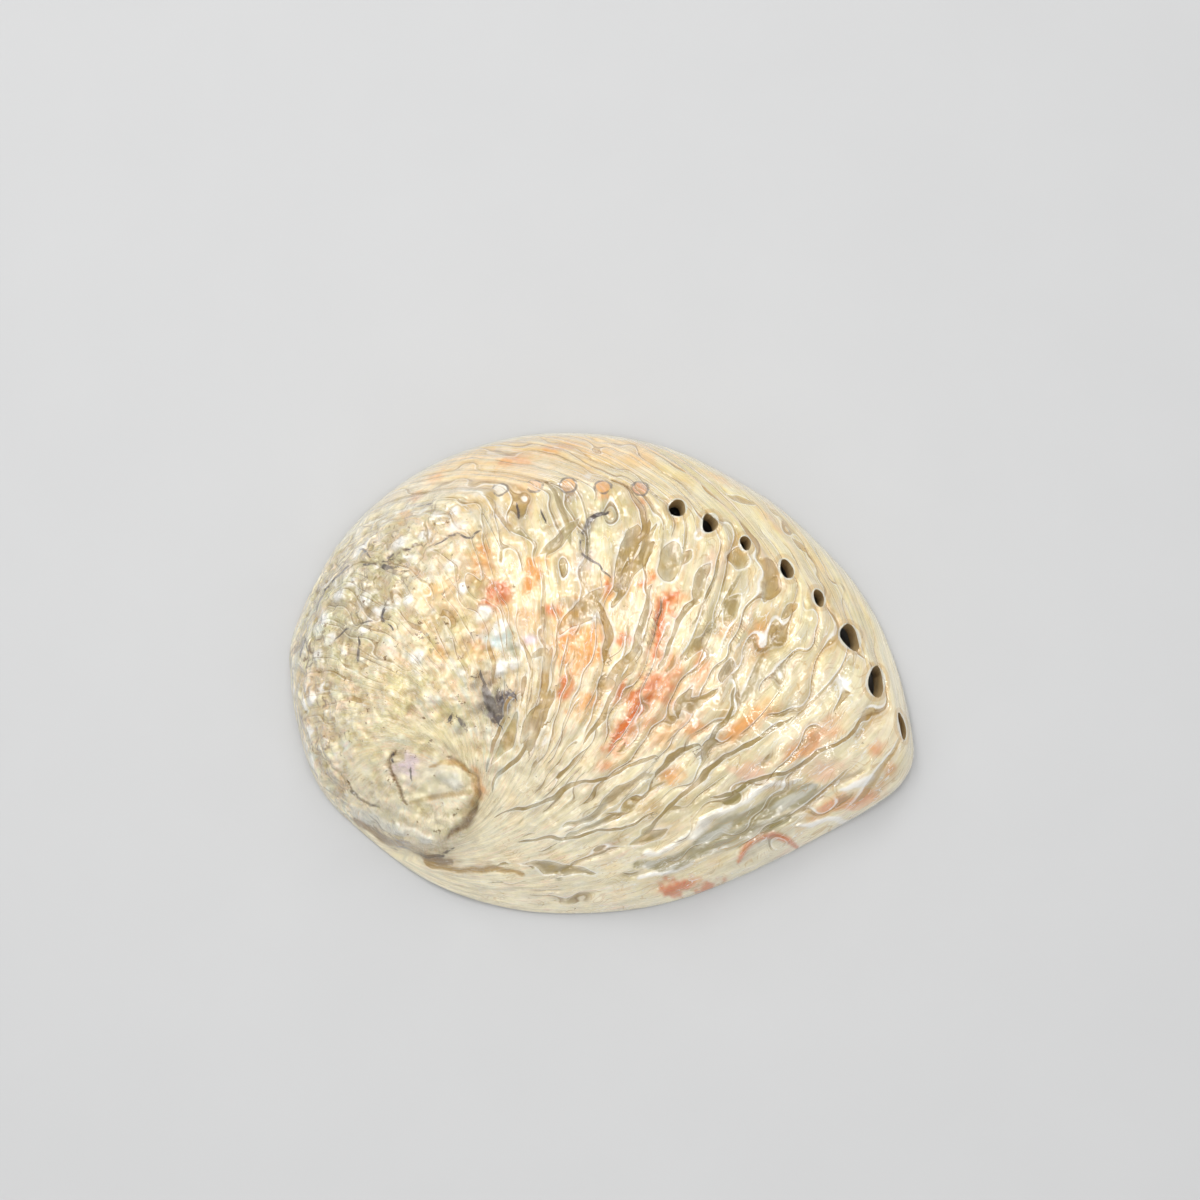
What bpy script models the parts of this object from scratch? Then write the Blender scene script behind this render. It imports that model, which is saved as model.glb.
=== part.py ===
"""Polished abalone shell, lying on the rim of its opening with the hollow beneath.

The shell is one solid. It is worked out in millimetres, with X along its length, Y across it and
the rim on Z = 0, and is scaled to metres when the mesh is made. Its outer face is a low dome over
an ear-shaped outline, carrying the spire knob, the row of breathing holes and the growth wrinkles.
Its inner face is a smooth bowl.
"""
import math

import bpy
import numpy as np

# Driving dimensions, in millimetres and degrees
MM = 0.001
HEIGHT = 44.0                 # floor to crown
WALL = 4.0                    # wall at the crown
CROWN = (-15.0, 8.0)          # highest point of the dome, in plan
SPIRE = (-40.0, -31.0)        # pole that the shell grew round, in plan
KNOB = (-39.5, -35.0)         # middle of the raised spire knob, in plan
OUTER_RINGS = 31              # mesh rings from the crown to the outline, outer face
INNER_RINGS = 17              # the same for the inner face
RING_CROWDING = 1.1           # how far the rings crowd towards the steep edge
EDGE_HEIGHT = 1.0             # height of the upright edge of the rim
EDGE_SETBACK = 0.5            # how far the bottom of that edge is set back

# Outline seen from above: points of one smooth closed curve, anticlockwise from the front tip
OUTLINE = [
    (78.8, -22.9), (78.7, -16.5), (76.3, -3.0), (71.8, 10.4), (65.2, 22.0), (56.9, 31.6),
    (48.3, 39.9), (38.9, 46.7), (19.1, 56.9), (-2.6, 61.2), (-25.3, 59.6), (-47.4, 50.6),
    (-65.9, 33.9), (-77.7, 10.4), (-78.5, -2.9), (-76.0, -16.1), (-71.5, -28.4), (-63.2, -38.2),
    (-44.0, -52.6), (-23.2, -59.9), (-2.5, -61.2), (17.7, -58.5), (37.7, -51.1), (60.7, -39.4),
    (72.7, -31.9), (77.0, -27.2),
]
CURVE_STEPS = 24
HALVINGS = 22                 # steps of the search for a growth line

# Dome profile by direction from the crown: degrees, how level the top stays, how steep the side is
PROFILES = [
    (0, 2.15, 0.78), (40, 2.25, 0.82), (90, 2.3, 0.85), (135, 2.3, 0.83), (180, 2.4, 0.80),
    (210, 2.6, 0.76), (243, 2.0, 0.99), (265, 2.0, 0.92), (300, 2.15, 0.80), (335, 2.15, 0.76),
]

# Width of the flat rim by direction from the crown: a shelf on the hole side, thin at the lip
RIM_WIDTHS = [(0, 5.2), (45, 5.4), (90, 6.0), (135, 6.5), (180, 6.5), (215, 6.5), (245, 6.0),
              (270, 5.0), (310, 5.0), (340, 5.2)]
# The same as PROFILES, for the bowl under the dome
BOWL_PROFILES = [
    (0, 2.15, 0.755), (40, 2.25, 0.78), (90, 2.3, 0.81), (135, 2.3, 0.80), (180, 2.4, 0.79),
    (208, 2.4, 0.80), (243, 1.95, 0.99), (265, 2.0, 0.88), (300, 2.15, 0.77), (335, 2.15, 0.735),
]
# How far the rim is raised off the floor by direction from the crown
RIM_LIFTS = [(0, 0.0), (60, 0.0), (236, 0.0), (250, 0.9), (268, 0.0), (325, 0.0), (334, 1.8), (343, 1.8)]

# The hole row is a spiral about the spire: its radius is ROW_START * exp(-coil(angle))
ROW_START = 121.6
COIL = (0.346, 0.0126)
LIP_ANGLES = (-125.0, 7.0)    # directions from the spire that the present lip spans
OUTSIDE_SWEEP = 2.2           # how fast growth lines bend back outside the hole row
ROW_BANDS = [(-0.5, 5.0, 1.0), (8.0, 3.5, -0.7)]   # keel and furrow: offset, half width, height
ROW_FADE = 25.0               # distance from the spire where the keel begins

# Growth ridges, which follow the lip's earlier places
RIDGES_PER_RADIAN = 12.5
RIDGE_OCTAVES = ((0.5, 0.62), (1.0, 1.0))           # count against the one above, share of height
RIDGE_WANDER = ((0.30, 17.0, 3), (0.16, 8.0, 4))    # in ridge widths, over a length, seed
RIDGE_LEAN = 0.68             # share of a ridge's width taken by its long slope
RIDGE_STEEPNESS = 0.13        # ridge height as a share of the ridge spacing
RIDGE_LIMIT = 0.95            # and its largest value, half the height from hollow to crest
PATCH_SCALE = 21.0            # size of the patches of high and low ridges
OUTSIDE_CALM = 0.55           # how much lower the ridges are outside the hole row
OUTSIDE_FADE = 0.05

# Knots and pits of the oldest part
OLD_AGE = 1.0                 # growth angle, in radians, from which they show
KNOT_HEIGHT = 0.6
KNOT_SCALE = 7.5
PIT_DEPTH = 0.7
PIT_SCALE = 8.5

# Open breathing holes: position, length, width, and direction of the length
HOLES = [
    (75.0, -15.2, 6.6, 2.5, 100), (68.0, -4.5, 7.6, 5.3, 72), (61.5, 6.2, 6.5, 5.7, 110),
    (53.6, 15.5, 4.4, 3.5, 100), (45.5, 22.3, 5.6, 3.8, 95), (35.2, 28.1, 4.2, 2.7, 75),
    (26.5, 32.8, 6.0, 3.8, 62), (18.7, 36.3, 5.0, 4.1, 60),
]
HOLE_SIDES = 12
HOLE_TAPER = 0.85             # size at the bottom of a hole against its top
HOLE_LEAN = 0.2               # lean of the holes, outward for each unit of height
# Older holes that the shell has closed, as low bumps with a dimple: position and radius
CLOSED_HOLES = [
    (9.7, 41.0, 3.2), (0.7, 40.9, 3.0), (-7.7, 41.2, 3.0), (-15.7, 40.9, 2.8), (-24.1, 40.4, 2.8),
    (-33.9, 38.2, 2.6), (-43.8, 35.1, 2.6), (-53.9, 29.6, 2.6), (-61.5, 22.5, 2.4), (-67.3, 10.1, 2.4),
]

# Suture crease round the knob: direction from the knob's middle, radius
CREASE = [(218, 17.2), (242, 14.0), (270, 12.6), (300, 11.7), (328, 11.2), (356, 11.3), (382, 12.2),
          (403, 13.3), (423, 14.2), (470, 19.0), (530, 21.0)]
CREASE_DEPTH = 1.3
CREASE_WIDTH = 1.6
# Where the knob blends into the old whorl with no crease: direction, share
KNOB_BLENDED = [(218, 0.0), (410, 0.0), (450, 1.0), (545, 1.0)]
KNOB_SHOULDER = 5.0           # width of its rounded shoulder at the crease
KNOB_BLEND = 14.0             # the same where it blends in
KNOB_RISE = 4.0               # height over the dome at its middle
KNOB_TILT = 0.28              # extra height for each unit towards the rim
KNOB_LIMIT = 8.0
CLOSED_HEIGHT = 1.0           # height of the bumps on closed holes
COLLAR_HEIGHT = 0.7           # height of the collars round open holes
BLISTER = (47.5, -43.8, 5.0, 1.1)       # small swelling at the lip: position, radius, height
SPIRE_HOLLOW = (-41.0, -31.0, 16.0, 5.0)  # pit inside the spire: position, radius, depth
RELIEF_FADE = 0.07            # share of the way in over which the relief fades at the rim
KNOB_FADE = 0.05


def smooth(t):
    """Smooth step from 0 to 1."""
    t = np.clip(t, 0.0, 1.0)
    return t * t * (3.0 - 2.0 * t)


def by_direction(table, degrees):
    """Value of a (degrees, value) table at each direction, eased between its entries."""
    angles = np.array([row[0] for row in table], float)
    values = np.array([row[1] for row in table], float)
    turned = angles[0] + (degrees - angles[0]) % 360.0
    place = np.searchsorted(angles, turned, side="right") - 1
    after = (place + 1) % len(angles)
    span = (angles[after] - angles[place]) % 360.0
    return values[place] + (values[after] - values[place]) * smooth((turned - angles[place]) / span)


def noise(x, y, scale, seed):
    """Smooth noise of about unit size: a sum of plane waves near one wavelength."""
    draw = np.random.RandomState(seed)
    waves = 14
    turn = draw.uniform(0.0, 2.0 * math.pi, waves)
    wave = 2.0 * math.pi / (scale * draw.uniform(0.7, 1.45, waves))
    start = draw.uniform(0.0, 2.0 * math.pi, waves)
    total = 0.0
    for t, w, s in zip(turn, wave, start):
        total = total + np.sin(w * (x * math.cos(t) + y * math.sin(t)) + s)
    return total * math.sqrt(2.0 / waves) * 0.7


def closed_curve(points):
    """Catmull-Rom curve through the points, as a closed list of places."""
    p = np.array(points, float)
    before, after, later = np.roll(p, 1, 0), np.roll(p, -1, 0), np.roll(p, -2, 0)
    steps = []
    for t in np.arange(CURVE_STEPS) / CURVE_STEPS:
        bend = 2.0 * before - 5.0 * p + 4.0 * after - later
        twist = 3.0 * p - before - 3.0 * after + later
        steps.append(0.5 * (2.0 * p + (after - before) * t + bend * t**2 + twist * t**3))
    return np.stack(steps, 1).reshape(-1, 2)


def polar_outline(centre):
    """Directions (radians, sorted) and radii of the outline about a point inside it."""
    offset = closed_curve(OUTLINE) - np.array(centre)
    angle = np.arctan2(offset[:, 1], offset[:, 0])
    order = np.argsort(angle)
    return angle[order], np.hypot(offset[:, 0], offset[:, 1])[order]


CROWN_ANGLES, CROWN_RADII = polar_outline(CROWN)
SPIRE_ANGLES, SPIRE_RADII = polar_outline(SPIRE)


def edge_radius(psi):
    """Distance from the crown to the outline."""
    return np.interp(psi, CROWN_ANGLES, CROWN_RADII, period=2.0 * math.pi)


def from_crown(x, y):
    """Direction from the crown, and share of the way to the outline."""
    dx, dy = x - CROWN[0], y - CROWN[1]
    psi = np.arctan2(dy, dx)
    return psi, np.clip(np.hypot(dx, dy) / edge_radius(psi), 0.0, 1.0)


def profile(psi, rho, height, sections):
    """Height of a dome of these sections at a share of the way to its edge."""
    degrees = np.degrees(psi)
    level = by_direction([(a, m) for a, m, n in sections], degrees)
    side = by_direction([(a, n) for a, m, n in sections], degrees)
    return height * (1.0 - np.clip(rho, 0.0, 1.0) ** level) ** side


def rim_lift(psi):
    """Height of the rim's underside above the floor."""
    return by_direction(RIM_LIFTS, np.degrees(psi))


def coil(angle):
    return COIL[0] * angle + COIL[1] * angle**3


def growth(x, y):
    """Growth angle turned back from the present lip, log distance out from the hole row, and radius."""
    dx, dy = x - SPIRE[0], y - SPIRE[1]
    phi = np.arctan2(dy, dx)
    first, last = math.radians(LIP_ANGLES[0]), math.radians(LIP_ANGLES[1])
    phi = np.where(phi < first, phi + 2.0 * math.pi, phi)
    radius = np.maximum(np.hypot(dx, dy), 0.5)
    row = ROW_START * np.exp(-coil(phi))
    outward = np.log(radius / row)
    reach = np.log(np.minimum(radius, row))
    low, high = np.full_like(phi, first), np.full_like(phi, last)
    for _ in range(HALVINGS):
        middle = 0.5 * (low + high)
        lip = np.log(np.interp(middle, SPIRE_ANGLES, SPIRE_RADII))
        short = lip - coil(phi - middle) < reach
        low, high = np.where(short, middle, low), np.where(short, high, middle)
    age = phi - 0.5 * (low + high) - OUTSIDE_SWEEP * np.maximum(outward, 0.0)
    return age, outward, radius


def wrinkles(x, y, finest):
    """Growth ridges: shingled folds along lines of equal growth, finer ones left out below finest."""
    age, outward, radius = growth(x, y)
    wander = sum(size * noise(x, y, scale, seed) for size, scale, seed in RIDGE_WANDER)
    spacing = radius / RIDGES_PER_RADIAN
    total = 0.0
    for count, share in RIDGE_OCTAVES:
        phase = RIDGES_PER_RADIAN * count * age + wander
        saw = phase - np.floor(phase)
        slope = np.where(saw < RIDGE_LEAN, saw / RIDGE_LEAN, (1.0 - saw) / (1.0 - RIDGE_LEAN))
        size = np.minimum(RIDGE_STEEPNESS * spacing / count, RIDGE_LIMIT)
        kept = smooth((spacing / count - finest) / finest)
        total = total + 2.0 * share * size * kept * (smooth(slope) - 0.5)
    patchy = np.clip(0.75 + 0.35 * noise(x, y, PATCH_SCALE, 5), 0.3, 1.2)
    return total * patchy * (1.0 - OUTSIDE_CALM * smooth(outward / OUTSIDE_FADE))


def knob(x, y):
    """Rise of the spire knob over the dome, ending at the suture crease."""
    dx, dy = x - KNOB[0], y - KNOB[1]
    start = CREASE[0][0]
    around = start + (np.degrees(np.arctan2(dy, dx)) - start) % 360.0
    away = np.hypot(dx, dy) - by_direction(CREASE, around)
    blended = by_direction(KNOB_BLENDED, around)
    width = KNOB_SHOULDER + (KNOB_BLEND - KNOB_SHOULDER) * blended
    rise = np.clip(KNOB_RISE - KNOB_TILT * (dy + 0.35 * dx), 0.0, KNOB_LIMIT)
    depth = CREASE_DEPTH * (1.0 - blended) * smooth(rise / CREASE_DEPTH)
    return rise * smooth(-away / width) - depth * np.exp(-((away / CREASE_WIDTH) ** 2))


def bump(x, y, place, radius):
    """Bell of height 1 over a place."""
    return np.exp(-2.0 * ((x - place[0]) ** 2 + (y - place[1]) ** 2) / radius**2)


def row_relief(x, y):
    """Raised keel along the hole row, the bumps of closed holes, and the collars of open ones."""
    _, outward, radius = growth(x, y)
    off = outward * radius
    keel = 0.0
    for middle, width, height in ROW_BANDS:
        keel = keel + height * np.exp(-((off - middle) / width) ** 2)
    total = keel * smooth((radius - ROW_FADE) / ROW_FADE)
    for hx, hy, size in CLOSED_HOLES:
        dimple = bump(x, y, (hx, hy), 1.25 * size) - bump(x, y, (hx, hy), 0.62 * size)
        total = total + CLOSED_HEIGHT * dimple
    for hx, hy, length, width, _ in HOLES:
        total = total + COLLAR_HEIGHT * bump(x, y, (hx, hy), 0.5 * (length + width))
    return total


def lumps(x, y):
    """Uneven knots of the oldest part, its small pits, and the swelling at the lip."""
    age, outward, radius = growth(x, y)
    old = smooth((age - OLD_AGE) / 0.6) * smooth((radius - 9.0) / 8.0)
    knots = KNOT_HEIGHT * noise(x, y, KNOT_SCALE, 8)
    pits = PIT_DEPTH * smooth((noise(x, y, PIT_SCALE, 9) - 0.2) / 1.4)
    return (knots - pits) * old + BLISTER[3] * bump(x, y, BLISTER, BLISTER[2])


def outer_height(x, y, finest):
    """Height of the outer face above the floor."""
    psi, rho = from_crown(x, y)
    relief = wrinkles(x, y, finest) + row_relief(x, y) + lumps(x, y)
    relief = relief * smooth((1.0 - rho) / RELIEF_FADE) + knob(x, y) * smooth((1.0 - rho) / KNOB_FADE)
    edge = (rim_lift(psi) + EDGE_HEIGHT) * smooth((rho - 0.55) / 0.45)
    return np.maximum(profile(psi, rho, HEIGHT, PROFILES) + edge + relief, edge)


def disc(rings):
    """Vertices of a disc as (direction, share of the way out), and its triangles facing up."""
    psi, rho, faces = [0.0], [0.0], []
    for ring in range(1, rings + 1):
        for step in range(6 * ring):
            psi.append(math.pi * step / (3.0 * ring))
            rho.append(math.sin(RING_CROWDING * ring / rings) / math.sin(RING_CROWDING))
        start, inner = 1 + 3 * ring * (ring - 1), 1 + 3 * (ring - 1) * (ring - 2) if ring > 1 else 0
        count, inner_count = 6 * ring, max(6 * (ring - 1), 1)
        for side in range(6):
            for i in range(ring):
                a = start + side * ring + i
                b = start + (side * ring + i + 1) % count
                c = inner + (side * (ring - 1) + i) % inner_count
                faces.append((a, b, c))
                if i < ring - 1:
                    faces.append((c, b, inner + (side * (ring - 1) + i + 1) % inner_count))
    return np.array(psi), np.array(rho), faces


def strip(first, first_count, second, second_count):
    """Triangles between two closed loops that start at the same direction, facing down."""
    faces, i, j = [], 0, 0
    while i < first_count or j < second_count:
        if j == second_count or (i < first_count and (i + 1) * second_count <= (j + 1) * first_count):
            faces.append((first + (i + 1) % first_count, first + i % first_count, second + j % second_count))
            i += 1
        else:
            faces.append((second + j % second_count, second + (j + 1) % second_count,
                          first + i % first_count))
            j += 1
    return faces


def place(psi, distance):
    return CROWN[0] + distance * np.cos(psi), CROWN[1] + distance * np.sin(psi)


def outer_face():
    """Points and triangles of the outer face."""
    psi, rho, faces = disc(OUTER_RINGS)
    x, y = place(psi, rho * edge_radius(psi))
    finest = 2.0 * HEIGHT / OUTER_RINGS
    return np.stack([x, y, outer_height(x, y, finest)], 1), faces


def rim_ring():
    """Bottom of the upright edge."""
    count = 6 * OUTER_RINGS
    psi = 2.0 * math.pi * np.arange(count) / count
    x, y = place(psi, edge_radius(psi) - EDGE_SETBACK)
    return np.stack([x, y, rim_lift(psi)], 1)


def bowl_height(psi, rho, x, y):
    """Height of the inner face at a share of the way to its edge."""
    edge = rim_lift(psi) * smooth((rho - 0.55) / 0.45)
    hollow = SPIRE_HOLLOW[3] * bump(x, y, SPIRE_HOLLOW, SPIRE_HOLLOW[2]) * smooth((1.0 - rho) / 0.25)
    return profile(psi, rho, HEIGHT - WALL, BOWL_PROFILES) + edge + hollow


def inner_face():
    """Points and triangles of the smooth bowl, facing down."""
    psi, rho, faces = disc(INNER_RINGS)
    reach = edge_radius(psi) - by_direction(RIM_WIDTHS, np.degrees(psi))
    x, y = place(psi, rho * reach)
    return np.stack([x, y, bowl_height(psi, rho, x, y)], 1), [face[::-1] for face in faces]


def shell_mesh():
    """The closed mesh of the shell without its holes."""
    outer, outer_tris = outer_face()
    ring = rim_ring()
    inner, inner_tris = inner_face()
    count = len(ring)
    edge = len(outer) - count
    ring_start = len(outer)
    inner_start = ring_start + count
    inner_count = 6 * INNER_RINGS
    inner_edge = inner_start + len(inner) - inner_count
    faces = outer_tris + [tuple(inner_start + v for v in face) for face in inner_tris]
    faces += strip(edge, count, ring_start, count)
    faces += strip(ring_start, count, inner_edge, inner_count)
    mesh = bpy.data.meshes.new("abalone_shell")
    mesh.from_pydata((np.concatenate([outer, ring, inner]) * MM).tolist(), [], faces)
    mesh.shade_smooth()
    return mesh


def hole_cutter(name, x, y, length, width, direction):
    """Tapered oval plug for a hole, leaning outward from the crown."""
    along = math.radians(direction)
    top = float(outer_height(np.array([x]), np.array([y]), WALL)[0])
    away = np.array([x - CROWN[0], y - CROWN[1]])
    away = away / np.linalg.norm(away)
    points = []
    for level, size in ((2.0 * WALL, 1.0 / HOLE_TAPER), (-3.0 * WALL, HOLE_TAPER**1.5)):
        for side in range(HOLE_SIDES):
            turn = 2.0 * math.pi * (side + 0.5) / HOLE_SIDES
            a = 0.5 * length * size * math.cos(turn)
            b = 0.5 * width * size * math.sin(turn)
            px = x + a * math.cos(along) - b * math.sin(along) + away[0] * HOLE_LEAN * level
            py = y + a * math.sin(along) + b * math.cos(along) + away[1] * HOLE_LEAN * level
            points.append((px * MM, py * MM, (top + level) * MM))
    n = HOLE_SIDES
    faces = [tuple(range(n)), tuple(range(2 * n - 1, n - 1, -1))]
    faces += [(i, n + i, n + (i + 1) % n, (i + 1) % n) for i in range(n)]
    mesh = bpy.data.meshes.new(name)
    mesh.from_pydata(points, [], faces)
    cutter = bpy.data.objects.new(name, mesh)
    bpy.context.collection.objects.link(cutter)
    cutter.hide_render = True
    cutter.display_type = "WIRE"
    return cutter


def cut(shell, cutter):
    modifier = shell.modifiers.new(cutter.name, "BOOLEAN")
    modifier.operation = "DIFFERENCE"
    modifier.solver = "EXACT"
    modifier.object = cutter


def nacre():
    """Polished pearly shell, cream with a soft gloss."""
    material = bpy.data.materials.new("polished_shell")
    material.use_nodes = True
    shader = material.node_tree.nodes["Principled BSDF"]
    shader.inputs["Base Color"].default_value = (0.72, 0.62, 0.46, 1.0)
    shader.inputs["Roughness"].default_value = 0.25
    shader.inputs["Metallic"].default_value = 0.0
    return material


def build():
    for item in list(bpy.data.objects):
        bpy.data.objects.remove(item, do_unlink=True)
    shell = bpy.data.objects.new("abalone_shell", shell_mesh())
    bpy.context.collection.objects.link(shell)
    shell.data.materials.append(nacre())
    for number, hole in enumerate(HOLES, 1):
        cut(shell, hole_cutter(f"hole_cutter_{number}", *hole))


build()
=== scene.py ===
"""Looks of the polished abalone shell: its carved relief, its colours, and a plain studio."""

import math

import bpy
import numpy as np
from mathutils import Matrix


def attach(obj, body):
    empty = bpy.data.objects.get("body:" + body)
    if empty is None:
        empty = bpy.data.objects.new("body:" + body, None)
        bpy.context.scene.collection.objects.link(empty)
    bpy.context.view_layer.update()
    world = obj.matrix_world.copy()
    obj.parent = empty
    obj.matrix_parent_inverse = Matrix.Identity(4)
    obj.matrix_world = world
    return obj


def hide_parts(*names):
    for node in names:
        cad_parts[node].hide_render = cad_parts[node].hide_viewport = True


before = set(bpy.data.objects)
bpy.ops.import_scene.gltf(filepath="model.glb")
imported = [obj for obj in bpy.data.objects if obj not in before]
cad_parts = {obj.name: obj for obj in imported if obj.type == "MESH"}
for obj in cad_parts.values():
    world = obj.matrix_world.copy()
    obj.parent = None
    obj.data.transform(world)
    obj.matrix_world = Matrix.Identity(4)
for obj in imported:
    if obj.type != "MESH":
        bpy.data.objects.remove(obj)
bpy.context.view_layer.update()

# Lengths in this script are millimetres, angles degrees, unless a comment says otherwise
MM = 0.001

# The photograph's camera
PHOTO_SIZE = 1200             # pixels
PIXEL = 0.256                 # size of a pixel at the floor
LENS = 55.0
SENSOR = 36.0
ELEVATION = 82.0
AIM = (0.0, 17.8, 0.0)        # point on the floor in the middle of the picture
CAMERA_DISTANCE = LENS / SENSOR * PHOTO_SIZE * PIXEL

# The shell's main shape, as in the CAD model
HEIGHT = 44.0
WALL = 4.0
CROWN = (-15.0, 8.0)
SPIRE = (-40.0, -31.0)
KNOB = (-39.5, -35.0)
EDGE_HEIGHT = 1.0             # thickness of the rounded edge
EDGE_SETBACK = 0.5            # how far its underside is set back
# Outline from above, counterclockwise from the front tip
OUTLINE = [
    (78.8, -22.9), (78.7, -16.5), (76.3, -3.0), (71.8, 10.4), (65.2, 22.0), (56.9, 31.6),
    (48.3, 39.9), (38.9, 46.7), (19.1, 56.9), (-2.6, 61.2), (-25.3, 59.6), (-47.4, 50.6),
    (-65.9, 33.9), (-77.7, 10.4), (-78.5, -2.9), (-76.0, -16.1), (-71.5, -28.4), (-63.2, -38.2),
    (-44.0, -52.6), (-23.2, -59.9), (-2.5, -61.2), (17.7, -58.5), (37.7, -51.1), (60.7, -39.4),
    (72.7, -31.9), (77.0, -27.2),
]
CURVE_STEPS = 24              # points for each stretch of the outline
HALVINGS = 20                 # steps in the search for the growth angle
# Dome profile by direction from the crown: degrees, how level the top stays, how steep the side is
PROFILES = [
    (0, 2.15, 0.78), (40, 2.25, 0.82), (90, 2.3, 0.85), (135, 2.3, 0.83), (180, 2.4, 0.80),
    (210, 2.6, 0.76), (243, 2.0, 0.99), (265, 2.0, 0.92), (300, 2.15, 0.80), (335, 2.15, 0.76),
]
# The same for the bowl under the dome
BOWL_PROFILES = [
    (0, 2.15, 0.755), (40, 2.25, 0.78), (90, 2.3, 0.81), (135, 2.3, 0.80), (180, 2.4, 0.79),
    (208, 2.4, 0.80), (243, 1.95, 0.99), (265, 2.0, 0.88), (300, 2.15, 0.77), (335, 2.15, 0.735),
]
# The flat rim by direction from the crown: its width, and how far it arches off the floor
RIM_WIDTHS = [(0, 5.2), (45, 5.4), (90, 6.0), (135, 6.5), (180, 6.5), (215, 6.5), (245, 6.0),
              (270, 5.0), (310, 5.0), (340, 5.2)]
RIM_LIFTS = [(0, 0.0), (60, 0.0), (236, 0.0), (250, 0.9), (268, 0.0), (325, 0.0), (334, 1.8), (343, 1.8)]
SPIRE_HOLLOW = (-41.0, -31.0, 16.0, 5.0)   # pit inside the spire: position, radius, depth

# Growth: the hole row is the spiral ROW_START * exp(-coil(angle)) about the spire
ROW_START = 121.6
COIL = (0.346, 0.0126)        # how fast it winds in, for the angle and its cube
LIP_ANGLES = (-125.0, 7.0)    # between them the lip runs, seen from the spire
OUTSIDE_SWEEP = 2.2           # how the growth lines sweep back outside the row
ROW_BANDS = [(-0.5, 5.0, 1.0), (8.0, 3.5, -0.7)]   # keel and furrow: offset, half width, height
ROW_FADE = 25.0               # radius from the spire where the bands begin
RIDGES_PER_RADIAN = 12.5
# How the ridges wander: amount in ridges, wavelength, seed
RIDGE_WANDER = ((0.30, 17.0, 3), (0.16, 8.0, 4))
BROAD_COUNT = 0.5             # broad folds for each ridge
BROAD_HEIGHT = 0.5

# Knob and its suture crease: direction from the knob's middle, radius
CREASE = [(218, 17.2), (242, 14.0), (270, 12.6), (300, 11.7), (328, 11.2), (356, 11.3), (382, 12.2),
          (403, 13.3), (423, 14.2), (470, 19.0), (530, 21.0)]
CREASE_DEPTH = 1.3
CREASE_WIDTH = 1.6
KNOB_BLENDED = [(218, 0.0), (410, 0.0), (450, 1.0), (545, 1.0)]
KNOB_SHOULDER = 5.0
KNOB_BLEND = 14.0
KNOB_RISE = 4.0
KNOB_TILT = 0.28
KNOB_LIMIT = 8.0

# Open breathing holes: position, length, width, and direction of the length
HOLES = [
    (75.0, -15.2, 6.6, 2.5, 100), (68.0, -4.5, 7.6, 5.3, 72), (61.5, 6.2, 6.5, 5.7, 110),
    (53.6, 15.5, 4.4, 3.5, 100), (45.5, 22.3, 5.6, 3.8, 95), (35.2, 28.1, 4.2, 2.7, 75),
    (26.5, 32.8, 6.0, 3.8, 62), (18.7, 36.3, 5.0, 4.1, 60),
]
HOLE_SIDES = 44
HOLE_TAPER = 0.85             # how much narrower a hole is inside
HOLE_LEAN = 0.2               # how far it leans away from the crown
HOLE_LOBES = 0.07             # how far a hole departs from an oval
PLUG_REACH = (2.0, -3.0)      # top and bottom of the plugs that cut the holes, in wall thicknesses
COLLAR_HEIGHT = 0.7
# Closed holes: position, radius, colour of the plug
CLOSED_HOLES = [
    (9.7, 41.0, 3.2, "coral"), (0.7, 40.9, 3.0, "orange"), (-7.7, 41.2, 3.0, "orange"),
    (-15.7, 40.9, 2.8, "pink"), (-24.1, 40.4, 2.8, "white"), (-33.9, 38.2, 2.6, "ivory"),
    (-43.8, 35.1, 2.6, "ivory"), (-53.9, 29.6, 2.6, "white"), (-61.5, 22.5, 2.4, "white"),
    (-67.3, 10.1, 2.4, "white"),
]
RINGED_PLUGS = 5              # the first of them have a dark ring
CLOSED_HEIGHT = 1.0
# Small blister by the lip: position, radius, height
BLISTER = (47.5, -43.8, 5.0, 1.1)

# Mesh: rings from the crown to the outline, outside and inside
OUTER_RINGS = 150
INNER_RINGS = 84
RING_CROWDING = 1.1           # rings lie closer together towards the outline

# Grooves between the polished plateaus, in ridge widths
GROOVE_LENGTH = 4.2           # growth lines are this many units long for each e-fold of radius
GROOVE_WIDTH = (0.028, 0.17)  # half width of a line, and what a pool adds
GROOVE_SIDE = 0.15            # width of a groove's sloping side
FINEST_SIDE = 1.5             # its least width in millimetres, as the mesh is no finer
GROOVE_DEPTH = 0.55           # millimetres
SECOND_COUNT = 1.37           # second, finer grooves for each of the first
SECOND_WIDTH = (0.03, 0.07)
SECOND_DEPTH = 0.3            # millimetres
OLD_AGE = 1.15                # radians of growth before the lip, where the old part starts
SEAM_FADE = 2.5               # how wide the patterns fade where the growth angle starts again

# Named colours, in the 0 to 255 of a colour picker
COLOURS = {
    "cream": (228, 212, 170), "ivory": (242, 232, 202), "butter": (228, 212, 150), "tan": (176, 142, 80),
    "khaki": (154, 130, 72), "brown": (122, 90, 52), "orange": (228, 140, 34), "ember": (208, 96, 0),
    "coral": (226, 122, 44), "peach": (238, 194, 130), "pink": (236, 188, 158), "moss": (210, 208, 150),
    "olive": (146, 134, 82), "slate": (116, 106, 98), "grey": (178, 172, 152), "plum": (60, 48, 54),
    "white": (252, 250, 244), "sky": (206, 228, 228), "lilac": (226, 204, 216), "amber": (196, 158, 98),
    "silver": (214, 212, 198),
}

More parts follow.
